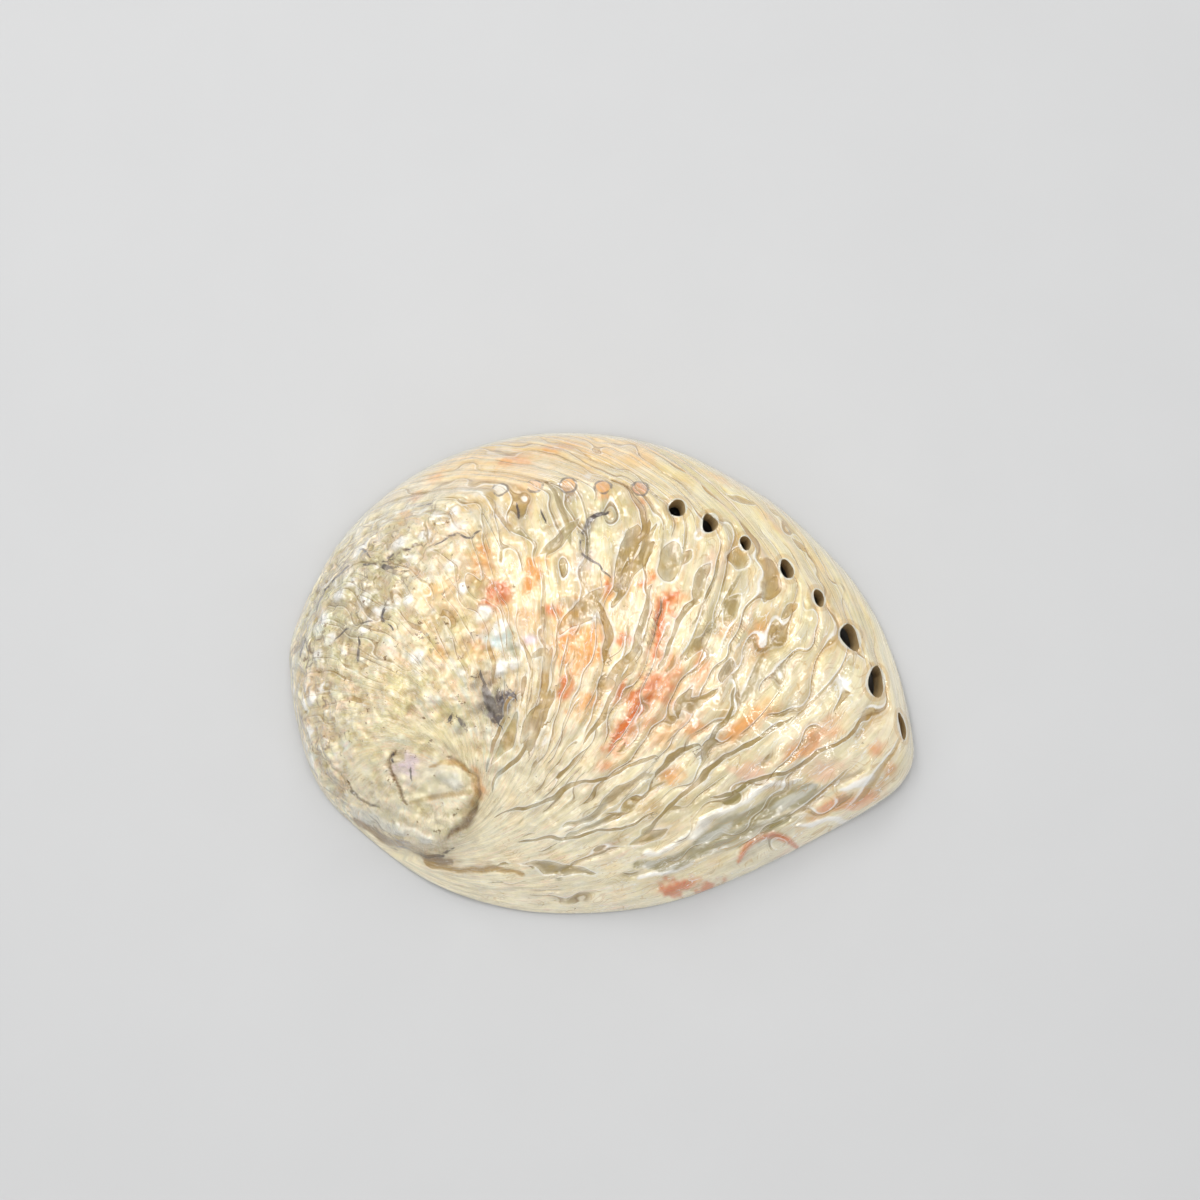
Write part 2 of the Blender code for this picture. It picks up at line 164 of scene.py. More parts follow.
# Broad tints: photo pixel, radius in pixels, colour of the plateaus, colour of the grooves
REGIONS = [
    (560, 850, 90, "ivory", "khaki"), (680, 830, 60, "cream", "khaki"), (620, 740, 60, "cream", "tan"),
    (600, 640, 60, "peach", "tan"), (700, 620, 60, "cream", "khaki"), (760, 700, 60, "cream", "khaki"),
    (840, 720, 60, "ivory", "tan"), (830, 610, 50, "butter", "amber"), (700, 500, 50, "butter", "tan"),
    (600, 455, 50, "peach", "amber"), (500, 470, 50, "peach", "tan"), (480, 600, 60, "peach", "amber"),
    (430, 520, 40, "ivory", "khaki"), (390, 580, 50, "ivory", "khaki"), (345, 620, 50, "ivory", "olive"),
    (400, 640, 40, "peach", "tan"), (380, 690, 70, "butter", "tan"), (430, 700, 40, "butter", "tan"),
    (330, 720, 40, "ivory", "tan"), (430, 790, 34, "ivory", "brown"), (370, 780, 34, "ivory", "khaki"),
    (330, 800, 26, "cream", "khaki"), (395, 830, 22, "cream", "khaki"), (450, 880, 40, "ivory", "tan"),
    # The first grey tint below is a painted reflection in the lip's trough
    (745, 825, 30, "grey", "olive"), (870, 790, 34, "cream", "tan"), (560, 540, 40, "cream", "olive"),
    (590, 500, 30, "moss", "slate"),
]

# Stains inside the plateaus, and a patch of painted shade among the nodules: photo pixel, half length, half
# width, turn from the right, colour, share
STAINS = [
    (630, 722, 40, 10, 58, "coral", 0.7), (622, 693, 11, 8, 0, "ember", 0.9),
    (662, 635, 30, 9, 70, "pink", 0.8), (666, 604, 15, 12, 40, "coral", 0.8),
    (590, 646, 17, 11, 75, "orange", 0.9), (566, 635, 24, 10, 78, "orange", 0.9),
    (566, 685, 13, 7, 75, "ember", 0.9), (551, 610, 8, 6, 0, "ember", 0.8),
    (626, 639, 8, 6, 0, "ember", 0.9), (609, 587, 11, 6, 80, "orange", 0.7),
    (649, 581, 9, 5, 80, "orange", 0.8), (661, 685, 22, 14, 60, "coral", 0.8),
    (701, 667, 15, 8, 80, "coral", 0.6), (670, 665, 8, 6, 0, "orange", 0.7),
    (696, 727, 11, 8, 30, "orange", 0.8), (664, 733, 14, 11, 0, "orange", 0.45),
    (586, 704, 12, 9, 30, "orange", 0.6), (583, 668, 7, 6, 0, "orange", 0.6),
    (727, 630, 10, 8, 0, "coral", 0.4), (759, 639, 20, 9, 75, "orange", 0.55),
    (535, 573, 15, 8, 70, "orange", 0.8), (525, 618, 12, 10, 0, "orange", 0.5),
    (480, 565, 17, 10, 80, "orange", 0.8), (489, 597, 13, 8, 70, "ember", 0.9),
    (503, 595, 13, 7, 80, "ember", 0.9), (481, 643, 15, 8, 70, "orange", 0.8),
    (437, 652, 10, 7, 60, "orange", 0.45), (405, 516, 9, 6, 60, "orange", 0.7),
    (510, 459, 10, 7, 20, "orange", 0.6), (435, 476, 9, 6, 30, "orange", 0.5),
    (443, 598, 21, 18, 0, "peach", 0.7), (415, 496, 8, 6, 30, "orange", 0.5),
    (745, 726, 30, 8, 35, "orange", 0.75), (816, 738, 26, 10, 35, "coral", 0.55),
    (795, 752, 14, 8, 30, "orange", 0.5), (750, 772, 15, 12, 0, "pink", 0.7),
    (824, 771, 14, 10, 20, "pink", 0.7), (671, 776, 10, 8, 0, "orange", 0.6),
    (891, 769, 8, 6, 0, "orange", 0.6), (878, 747, 9, 6, 30, "coral", 0.5),
    (870, 795, 17, 7, 20, "orange", 0.75), (829, 807, 17, 7, 30, "orange", 0.6),
    (677, 887, 16, 8, 10, "ember", 0.95), (708, 888, 14, 6, 18, "ember", 0.9),
    (491, 700, 16, 8, 75, "plum", 1.0), (505, 706, 13, 6, 80, "plum", 1.0),
    (515, 694, 7, 3, 75, "plum", 0.9), (475, 683, 8, 4, 60, "slate", 0.7),
    (462, 725, 8, 5, 60, "slate", 0.6), (588, 525, 12, 5, 65, "slate", 0.7),
    (765, 850, 12, 7, 0, "ivory", 0.9), (650, 809, 14, 7, 30, "amber", 0.5),
    # The first olive patch below is painted shade between the white nodules
    (362, 608, 40, 28, 55, "olive", 0.55), (466, 596, 26, 16, 70, "olive", 0.4),
    (505, 640, 20, 22, 80, "grey", 0.5), (560, 447, 16, 7, 10, "orange", 0.5),
    (520, 460, 14, 7, 20, "orange", 0.5), (600, 452, 14, 6, 0, "peach", 0.8),
    (640, 458, 14, 7, -15, "peach", 0.8), (720, 480, 16, 6, -25, "peach", 0.7),
    (770, 520, 14, 5, -40, "peach", 0.6), (640, 505, 7, 5, 0, "coral", 0.6),
    (603, 497, 6, 4, 0, "orange", 0.5), (690, 700, 26, 14, 50, "pink", 0.45),
    (720, 560, 20, 14, 60, "pink", 0.3), (407, 767, 12, 10, 40, "lilac", 0.9),
    (500, 640, 9, 16, 80, "sky", 0.9), (510, 652, 14, 9, 60, "olive", 0.5),
    (526, 641, 7, 5, 0, "lilac", 0.8), (448, 778, 18, 15, 0, "ivory", 0.9),
    (478, 785, 5, 12, 5, "orange", 0.6), (400, 825, 20, 8, -20, "grey", 0.7),
    (462, 822, 16, 6, 50, "khaki", 0.6), (585, 560, 14, 10, 60, "lilac", 0.35),
]

# Pearly nodules, raised and painted white as a highlight: photo pixel, radius in pixels
NODULES = [
    (452, 565, 8), (463, 589, 7), (483, 614, 9), (417, 656, 8), (365, 600, 9), (374, 615, 8), (385, 606, 7),
    (500, 628, 9), (340, 596, 7), (352, 583, 6), (330, 640, 7), (318, 655, 6), (500, 668, 8), (515, 664, 6),
    (399, 545, 8), (425, 535, 7), (455, 512, 6), (365, 628, 6), (312, 700, 7), (408, 600, 6),
]

# Tan pools in the grooves: photo pixel, half length, half width, turn
POOLS = [
    (636, 565, 38, 5, 63), (669, 562, 15, 9, 70), (702, 584, 18, 5, 65), (606, 685, 8, 6, 0),
    (683, 700, 13, 5, 60), (702, 695, 12, 4, 20), (693, 706, 9, 5, 25), (546, 675, 20, 5, 75),
    (549, 699, 9, 5, 60), (583, 612, 24, 7, 50), (727, 670, 12, 4, 75), (733, 612, 14, 5, 70),
    (737, 558, 11, 9, 70), (685, 558, 8, 5, 60), (633, 534, 10, 5, 60), (647, 543, 10, 4, 60),
    (560, 536, 26, 4, 50), (772, 590, 12, 4, 60), (790, 610, 10, 4, 50), (700, 640, 24, 3, 62),
    (506, 740, 22, 4, 62), (530, 722, 18, 4, 55), (650, 838, 18, 4, 25), (610, 800, 40, 4, 33),
    (560, 868, 30, 4, -6), (600, 822, 26, 3, 25), (740, 498, 12, 4, -30), (800, 545, 10, 4, -45),
]

# Long grooves: points in photo pixels, half width in pixels
LONG_GROOVES = [
    ([(530, 657), (541, 650), (549, 661), (547, 684), (540, 708)], 4.0),
    ([(592, 597), (604, 616), (610, 635), (607, 660)], 4.0), ([(630, 532), (624, 558), (614, 590)], 4.4),
    ([(649, 523), (638, 560), (617, 600)], 3.8), ([(545, 696), (537, 722), (529, 750)], 4.4),
    ([(653, 586), (648, 608), (637, 635), (629, 657), (615, 673), (603, 686)], 2.8),
    ([(697, 591), (681, 621), (667, 649), (658, 670)], 2.4), ([(676, 719), (681, 703), (699, 697)], 3.0),
    ([(640, 845), (665, 812), (690, 785), (712, 764), (752, 743), (791, 717)], 2.4),
    ([(697, 762), (721, 730), (733, 690)], 2.0),
    ([(709, 797), (750, 786), (795, 767), (852, 733), (871, 712)], 2.0),
    ([(655, 773), (674, 755), (700, 747)], 2.6), ([(583, 742), (612, 700), (640, 640)], 2.0),
    ([(500, 815), (560, 792), (610, 778), (655, 756)], 1.8), ([(520, 840), (600, 836), (650, 815)], 1.6),
    ([(495, 790), (520, 748), (545, 715), (560, 690)], 2.4), ([(488, 775), (497, 730), (520, 690)], 1.6),
]

# Soft streaks, some of them painted shade or painted highlights: points in photo pixels, half width in
# pixels, colour, share, depth in millimetres
STREAKS = [
    # The knob's crease: a real groove, its brown deepened by painted shade on the knob's lower right
    ([(447, 756), (464, 765), (476, 782), (478, 799), (471, 816), (461, 830), (447, 840)],
     3.6, "brown", 0.85, 1.0),
    # Painted shadow under the knob, on the steep wall above the flange
    ([(355, 817), (385, 839), (418, 855), (452, 859)], 6.0, "brown", 0.9, 0.5),
    ([(322, 752), (330, 778), (345, 800)], 6.0, "khaki", 0.6, 0.0),
    ([(350, 806), (372, 820), (396, 829), (434, 838)], 6.5, "silver", 0.9, -0.7),
    ([(425, 861), (470, 867), (525, 874)], 3.6, "tan", 0.95, 0.6),
    ([(395, 748), (391, 765), (394, 782), (408, 804)], 2.2, "brown", 0.9, 0.9),
    ([(409, 801), (444, 797), (470, 789)], 3.4, "tan", 0.8, 0.3),
    ([(427, 766), (447, 757), (468, 768), (475, 789), (468, 806)], 2.4, "amber", 0.95, 0.2),
    ([(438, 772), (452, 776), (458, 784)], 7.0, "silver", 0.9, -0.6),
    ([(345, 780), (366, 802), (381, 807)], 1.8, "plum", 0.8, 0.7),
    ([(678, 591), (660, 609), (656, 629), (657, 643), (650, 660)], 3.6, "ember", 0.95, 0.3),
    ([(629, 681), (622, 690), (621, 701), (632, 698), (645, 690), (662, 676)], 3.0, "ember", 0.9, 0.3),
    ([(651, 695), (634, 711), (620, 727), (611, 754)], 5.6, "ember", 1.0, 0.3),
    ([(640, 590), (655, 575)], 3.6, "coral", 0.9, 0.2),
    ([(603, 581), (609, 593)], 3.2, "ember", 0.8, 0.2),
    ([(493, 588), (488, 606)], 5.0, "ember", 0.8, 0.2),
    ([(499, 586), (507, 604)], 4.6, "ember", 0.8, 0.2),
    ([(531, 562), (526, 588)], 5.0, "orange", 0.8, 0.2),
    ([(548, 545), (566, 530), (584, 522)], 3.2, "amber", 0.8, 0.4),
    ([(546, 530), (560, 521), (578, 515)], 2.4, "amber", 0.7, 0.4),
    ([(560, 596), (580, 606), (602, 626)], 7.0, "grey", 0.6, 0.3),
    # White streaks by the lip: painted highlights on the raised crests beside the troughs
    ([(642, 856), (688, 838), (717, 815), (762, 789), (800, 780)], 3.6, "white", 0.8, -0.7),
    ([(706, 842), (750, 826), (774, 816)], 3.0, "white", 0.95, -0.6),
    ([(636, 880), (662, 869), (694, 860)], 3.4, "white", 0.9, -0.5),
    ([(798, 828), (832, 820), (850, 820)], 3.4, "white", 0.9, -0.5),
    ([(842, 790), (878, 775)], 3.2, "white", 0.9, -0.5),
    ([(784, 819), (802, 806), (839, 782), (864, 770)], 4.0, "brown", 0.55, 0.8),
    ([(822, 808), (850, 802), (878, 798)], 6.0, "coral", 0.7, 0.2),
]

# Dark veins: points in photo pixels, half width in pixels
VEINS = [
    ([(363, 565), (382, 560), (397, 551), (408, 549)], 1.4), ([(385, 563), (393, 566)], 2.6),
    ([(313, 617), (330, 583), (347, 569)], 1.3), ([(437, 546), (452, 534), (467, 537), (480, 528)], 1.3),
    ([(336, 644), (351, 627), (376, 620)], 1.3), ([(355, 641), (358, 660)], 1.8),
    ([(372, 556), (360, 552)], 1.2), ([(582, 540), (587, 528), (592, 516), (604, 510)], 2.0),
    ([(580, 530), (585, 560), (609, 577)], 1.0), ([(484, 690), (490, 706), (498, 718)], 5.0),
    ([(505, 698), (501, 716)], 3.4), ([(512, 690), (517, 700)], 2.4), ([(478, 672), (487, 690)], 1.4),
    ([(393, 752), (396, 766)], 1.2), ([(409, 772), (411, 781)], 1.2), ([(458, 715), (465, 733)], 2.6),
    ([(520, 505), (518, 520)], 0.9), ([(538, 507), (546, 524)], 0.9), ([(305, 640), (300, 660)], 1.2),
    ([(388, 600), (384, 618), (395, 632)], 0.9), ([(415, 508), (430, 503)], 1.0),
    # The vein from (395, 850) to (455, 850) is painted shadow in the notch under the knob
    ([(395, 850), (420, 858), (455, 850)], 1.4), ([(345, 784), (356, 794)], 1.2),
    ([(446, 720), (452, 712)], 1.6),
]

# Troughs by the lip, sunk into the relief and painted grey and silver as a reflection: points in photo
# pixels, half width in pixels
TROUGHS = [
    ([(694, 842), (720, 832), (750, 818), (785, 800), (818, 789)], 11.0),
    ([(634, 866), (684, 858), (739, 839), (776, 825), (792, 817)], 7.0),
]
LIP_TURN = 30.0               # direction of the lip's folds
LIP_STRETCH = 4.5             # how drawn out they are
BLISTER_ARC = ([(738, 863), (746, 845), (765, 834), (784, 838), (799, 849)], 4.8)


def smooth(t):
    """Smooth step from 0 to 1."""
    t = np.clip(t, 0.0, 1.0)
    return t * t * (3.0 - 2.0 * t)


def by_direction(table, degrees):
    """Value of a (degrees, value) table at each direction, eased between its entries."""
    angles = np.array([row[0] for row in table], float)
    values = np.array([row[1] for row in table], float)
    turned = angles[0] + (degrees - angles[0]) % 360.0
    place = np.searchsorted(angles, turned, side="right") - 1
    after = (place + 1) % len(angles)
    span = (angles[after] - angles[place]) % 360.0
    return values[place] + (values[after] - values[place]) * smooth((turned - angles[place]) / span)


def noise(x, y, scale, seed):
    """Smooth noise of about unit size: a sum of plane waves near one wavelength."""
    draw = np.random.RandomState(seed)
    waves = 14
    turn = draw.uniform(0.0, 2.0 * math.pi, waves)
    wave = 2.0 * math.pi / (scale * draw.uniform(0.7, 1.45, waves))
    start = draw.uniform(0.0, 2.0 * math.pi, waves)
    total = 0.0
    for t, w, s in zip(turn, wave, start):
        total = total + np.sin(w * (x * math.cos(t) + y * math.sin(t)) + s)
    return total * math.sqrt(2.0 / waves) * 0.7


def patches(x, y, scale, seed, low, width):
    """Soft patches from 0 to 1, where a noise rises past low over a width."""
    return smooth((noise(x, y, scale, seed) - low) / width)


def within(away, start, width):
    """1 nearer than start, falling smoothly to 0 over a width."""
    return 1.0 - smooth((away - start) / width)


def turned(x, y, degrees):
    """Coordinates along a direction and to its left."""
    turn = math.radians(degrees)
    return x * math.cos(turn) + y * math.sin(turn), y * math.cos(turn) - x * math.sin(turn)


def closed_curve(points):
    """Catmull-Rom curve through the points, as a closed list of places."""
    p = np.array(points, float)
    before, after, later = np.roll(p, 1, 0), np.roll(p, -1, 0), np.roll(p, -2, 0)
    steps = []
    for t in np.arange(CURVE_STEPS) / CURVE_STEPS:
        bend = 2.0 * before - 5.0 * p + 4.0 * after - later
        twist = 3.0 * p - before - 3.0 * after + later
        steps.append(0.5 * (2.0 * p + (after - before) * t + bend * t**2 + twist * t**3))
    return np.stack(steps, 1).reshape(-1, 2)


def polar_outline(centre):
    """Directions (radians, sorted) and radii of the outline about a point inside it."""
    offset = closed_curve(OUTLINE) - np.array(centre)
    angle = np.arctan2(offset[:, 1], offset[:, 0])
    order = np.argsort(angle)
    return angle[order], np.hypot(offset[:, 0], offset[:, 1])[order]


CROWN_ANGLES, CROWN_RADII = polar_outline(CROWN)
SPIRE_ANGLES, SPIRE_RADII = polar_outline(SPIRE)


def edge_radius(psi):
    """Distance from the crown to the outline."""
    return np.interp(psi, CROWN_ANGLES, CROWN_RADII, period=2.0 * math.pi)


def from_crown(x, y):
    """Direction from the crown, and share of the way to the outline."""
    dx, dy = x - CROWN[0], y - CROWN[1]
    psi = np.arctan2(dy, dx)
    return psi, np.clip(np.hypot(dx, dy) / edge_radius(psi), 0.0, 1.0)


def profile(psi, rho, height, sections):
    """Height of a dome of these sections at a share of the way to its edge."""
    degrees = np.degrees(psi)
    level = by_direction([(a, m) for a, m, n in sections], degrees)
    side = by_direction([(a, n) for a, m, n in sections], degrees)
    return height * (1.0 - np.clip(rho, 0.0, 1.0) ** level) ** side


def towards_rim(rho):
    """0 over the middle of the shell, rising to 1 at its outline."""
    return smooth((rho - 0.55) / 0.45)


def rim_lift(psi):
    """Height of the rim's underside above the floor."""
    return by_direction(RIM_LIFTS, np.degrees(psi))


def outer_edge(psi, rho):
    """Height of the outer face's own edge, which fades out towards the middle."""
    return (rim_lift(psi) + EDGE_HEIGHT) * towards_rim(rho)


def coil(angle):
    """How far the hole row has wound in by an angle, as a logarithm of its radius."""
    return COIL[0] * angle + COIL[1] * angle**3


def growth(x, y):
    """Growth angle turned back from the present lip, log distance out from the hole row, and radius."""
    dx, dy = x - SPIRE[0], y - SPIRE[1]
    phi = np.arctan2(dy, dx)
    first, last = math.radians(LIP_ANGLES[0]), math.radians(LIP_ANGLES[1])
    phi = np.where(phi < first, phi + 2.0 * math.pi, phi)
    radius = np.maximum(np.hypot(dx, dy), 0.5)
    row = ROW_START * np.exp(-coil(phi))
    outward = np.log(radius / row)
    reach = np.log(np.minimum(radius, row))
    low, high = np.full_like(phi, first), np.full_like(phi, last)
    for _ in range(HALVINGS):
        middle = 0.5 * (low + high)
        lip = np.log(np.interp(middle, SPIRE_ANGLES, SPIRE_RADII))
        short = lip - coil(phi - middle) < reach
        low, high = np.where(short, middle, low), np.where(short, high, middle)
    age = phi - 0.5 * (low + high) - OUTSIDE_SWEEP * np.maximum(outward, 0.0)
    return age, outward, radius


def bump(x, y, place, radius):
    """Bell of height 1 over a place."""
    return np.exp(-2.0 * ((x - place[0]) ** 2 + (y - place[1]) ** 2) / radius**2)


def knob(x, y):
    """Rise of the spire knob over the dome, and how far a place lies outside its crease."""
    dx, dy = x - KNOB[0], y - KNOB[1]
    start = CREASE[0][0]
    around = start + (np.degrees(np.arctan2(dy, dx)) - start) % 360.0
    away = np.hypot(dx, dy) - by_direction(CREASE, around)
    blended = by_direction(KNOB_BLENDED, around)
    width = KNOB_SHOULDER + (KNOB_BLEND - KNOB_SHOULDER) * blended
    rise = np.clip(KNOB_RISE - KNOB_TILT * (dy + 0.35 * dx), 0.0, KNOB_LIMIT)
    depth = CREASE_DEPTH * (1.0 - blended) * smooth(rise / CREASE_DEPTH)
    return rise * smooth(-away / width) - depth * np.exp(-((away / CREASE_WIDTH) ** 2)), away


def base_height(x, y):
    """Height of the outer face without its fine relief."""
    psi, rho = from_crown(x, y)
    rise = knob(x, y)[0] * smooth((1.0 - rho) / 0.05)
    return profile(psi, rho, HEIGHT, PROFILES) + outer_edge(psi, rho) + rise


# The camera's forward and upward directions, and its place
VIEW = np.array([0.0, math.cos(math.radians(ELEVATION)), -math.sin(math.radians(ELEVATION))])
VIEW_UP = np.array([0.0, math.sin(math.radians(ELEVATION)), math.cos(math.radians(ELEVATION))])
EYE = np.array(AIM) - VIEW * CAMERA_DISTANCE


def on_shell(pixels):
    """Plan position of photo pixels, where the camera's rays meet the outer face."""
    p = np.atleast_2d(np.array(pixels, float))
    focal = LENS / SENSOR * PHOTO_SIZE
    across = (p[:, 0] - 0.5 * PHOTO_SIZE) / focal
    up = (0.5 * PHOTO_SIZE - p[:, 1]) / focal
    ray = VIEW + up[:, None] * VIEW_UP + across[:, None] * np.array([1.0, 0.0, 0.0])
    z = np.zeros(len(p))
    for _ in range(30):
        hit = EYE + ray * ((z - EYE[2]) / ray[:, 2])[:, None]
        z = 0.5 * z + 0.5 * base_height(hit[:, 0], hit[:, 1])
    return hit[:, :2]


def oval_axes(x, y, pixel, length, width, turn):
    """Place along and across an oval given in photo pixels, as shares of its half length and width."""
    cx, cy = on_shell([pixel])[0]
    along, aside = turned(x - cx, y - cy, turn)
    return along / (length * PIXEL), aside / (width * PIXEL)


def oval(x, y, pixel, length, width, turn):
    """Distance from an oval's middle as a share of its size."""
    return np.hypot(*oval_axes(x, y, pixel, length, width, turn))


def lens(x, y, pixel, length, width, turn):
    """The same for a lens, which has pointed ends."""
    along, aside = oval_axes(x, y, pixel, length, width, turn)
    return along**2 + np.abs(aside)


def rounded(path):
    """A line with its corners cut, so that it runs in curves."""
    a, b = path[:-1], path[1:]
    cut = np.stack([0.75 * a + 0.25 * b, 0.25 * a + 0.75 * b], 1).reshape(-1, 2)
    return np.concatenate([path[:1], cut, path[-1:]])


def from_path(x, y, points, width):
    """Distance to the left of a line through photo pixels, as a share of its half width."""
    path = rounded(on_shell(points))
    nearest = np.full_like(x, 1e3)
    count = len(path) - 1
    for i in range(count):
        a, b = path[i], path[i + 1]
        step = b - a
        t = np.clip(((x - a[0]) * step[0] + (y - a[1]) * step[1]) / step.dot(step), 0.0, 1.0)
        dx, dy = x - a[0] - t * step[0], y - a[1] - t * step[1]
        left = np.where(step[0] * dy - step[1] * dx < 0.0, -1.0, 1.0)
        share = (i + t) / count
        taper = 0.25 + 0.75 * np.sqrt(np.clip(4.0 * share * (1.0 - share), 0.0, 1.0))
        away = left * np.hypot(dx, dy) / (width * PIXEL * taper)
        nearest = np.where(np.abs(away) < np.abs(nearest), away, nearest)
    return nearest


def nearest_line(x, y, lines):
    """Signed distance from the nearest of some lines, and the same without its sign."""
    nearest = np.full_like(x, 9.0)
    for points, width in lines:
        away = from_path(x, y, points, width)
        nearest = np.where(np.abs(away) < np.abs(nearest), away, nearest)
    return nearest, np.abs(nearest)


def linear(name):
    """A named colour as linear red, green and blue."""
    c = np.array(COLOURS[name]) / 255.0
    return np.where(c <= 0.04045, c / 12.92, ((c + 0.055) / 1.055) ** 2.4)


def groove(phase, width, side):
    """How deep a place lies in the groove at the nearest whole phase, 0 to 1."""
    away = np.abs((phase + 0.5) % 1.0 - 0.5)
    return 1.0 - smooth((away - width) / side)


def hole_offset(x, y):
    """Distance outside the nearest open hole's edge, in millimetres."""
    nearest = np.full_like(x, 20.0)
    for hx, hy, length, width, direction in HOLES:
        along, aside = turned(x - hx, y - hy, direction)
        share = np.hypot(along / (0.5 * length), aside / (0.5 * width))
        nearest = np.minimum(nearest, (share - 1.0) * np.hypot(along, aside) / np.maximum(share, 0.05))
    return nearest


def pattern_fields(x, y):
    """The patterns that follow the shell's growth, at each place."""
    age, outward, radius = growth(x, y)
    rho = from_crown(x, y)[1]
    beyond_knob = knob(x, y)[1]
    across = RIDGES_PER_RADIAN * age
    along = GROOVE_LENGTH * np.log(radius)
    f = {"across": across, "along": along, "rho": rho, "radius": radius, "outward": outward}
    wander = sum(size * noise(x, y, scale, seed) for size, scale, seed in RIDGE_WANDER)
    f["phase"] = across + wander + 0.30 * noise(across, along, 2.0, 11) + 0.06 * noise(across, along, 0.9, 12)
    f["second"] = SECOND_COUNT * across + 0.35 * noise(across, along, 1.9, 31) + 7.3
    f["fold"] = smooth(np.abs((f["phase"] * BROAD_COUNT % 1.0) - 0.5) * 2.0)
    f["width"] = GROOVE_WIDTH[0] + GROOVE_WIDTH[1] * patches(across, along, 1.4, 21, 0.35, 1.1)
    f["width_2"] = SECOND_WIDTH[0] + SECOND_WIDTH[1] * patches(across, along, 2.0, 33, 0.2, 0.9)

    # The old part and the knob: knots in place of grooves
    old = smooth((age - OLD_AGE) / 0.6) * smooth((radius - 9.0) / 8.0) * smooth(beyond_knob / 3.0)
    f["inside_knob"] = smooth(-beyond_knob / 2.0)
    f["old"] = np.maximum(old, 0.7 * f["inside_knob"])
    f["knobbly"] = f["old"] * (0.3 + 0.7 * smooth((outward + 0.40) / 0.25))
    knots = 0.5 * noise(x, y, 7.5, 8) + 0.28 * noise(x, y, 3.4, 51) + 0.14 * noise(x, y, 1.8, 52)
    pits = 0.5 * patches(x, y, 3.2, 53, 0.55, 0.5) + 0.6 * patches(x, y, 8.5, 9, 0.2, 1.4)
    f["knots"] = knots - pits

    # How deeply the grooves are carved: less outside the holes, and in the fan beside the knob
    spacing = radius / RIDGES_PER_RADIAN
    calm = smooth((1.0 - rho) / 0.09) * smooth(beyond_knob / 2.5) * smooth((spacing - 1.3) / 1.6)
    calm = calm * (1.0 - 0.45 * old)
    outside = smooth(outward / 0.05)
    fan = smooth((-25.0 - y) / 15.0) * smooth((95.0 - radius) / 30.0)
    carve = calm * patches(across, along, 1.9, 22, -0.75, 0.5) * (1.0 - 0.5 * outside)
    f["carve"] = carve * (1.0 - 0.85 * fan * patches(across, along, 1.6, 23, -0.8, 1.0))
    finer = (1.0 - 0.85 * fan) * calm * patches(across, along, 1.7, 32, 0.4, 0.5)
    f["carve_2"] = finer * (1.0 - 0.6 * outside)
    return f


def placed_fields(x, y):
    """Distances from the marks that were placed one by one, as shares of their sizes."""
    warp = 0.25 * noise(x, y, 4.0, 41) + 0.14 * noise(x, y, 1.9, 42)
    bent_x = x + 0.7 * noise(x, y, 12.0, 45) + 0.18 * noise(x, y, 4.5, 46)
    bent_y = y + 0.7 * noise(x, y, 12.0, 47) + 0.18 * noise(x, y, 4.5, 48)
    f = {"collar": hole_offset(x, y), "arc": np.abs(from_path(x, y, *BLISTER_ARC))}
    f["vein"], f["near_vein"] = nearest_line(bent_x, bent_y, VEINS)
    f["long"], f["near_long"] = nearest_line(bent_x, bent_y, LONG_GROOVES)
    f["streaks"] = [np.abs(from_path(bent_x, bent_y, row[0], row[1])) + 0.35 * warp for row in STREAKS]
    pool = np.full_like(x, 4.0)
    for px, py, length, width, turn in POOLS:
        pool = np.minimum(pool, lens(bent_x, bent_y, (px, py), 1.25 * length, 1.2 * width, turn))
    f["pool"] = np.minimum(pool + 0.12 * noise(x, y, 6.0, 49), 4.0)
    ring = np.full_like(x, 6.0)
    for hx, hy, size, _ in CLOSED_HOLES[:RINGED_PLUGS]:
        ring = np.minimum(ring, np.hypot(x - hx, y - hy) / (0.66 * size))
    f["ring"] = ring + 0.25 * warp
    trough = np.full_like(x, 4.0)
    for points, width in TROUGHS:
        trough = np.minimum(trough, np.abs(from_path(bent_x, bent_y, points, width)) + 0.2 * warp)
    f["trough"] = trough
    nodule = np.zeros_like(x)
    for px, py, size in NODULES:
        away = oval(x, y, (px, py), 1.3 * size, size, 40) + 0.3 * warp
        nodule = np.maximum(nodule, within(away, 0.5, 0.6))
    f["nodule"] = nodule
    return f


def fields(x, y):
    """Everything that the relief and the colours need at each place, as a dictionary."""
    return {**pattern_fields(x, y), **placed_fields(x, y)}


def lip_folds(x, y):
    """Noise drawn out along the folds of the lip."""
    along, aside = turned(x, y, LIP_TURN)
    return noise(along / LIP_STRETCH, aside, 2.8, 76)


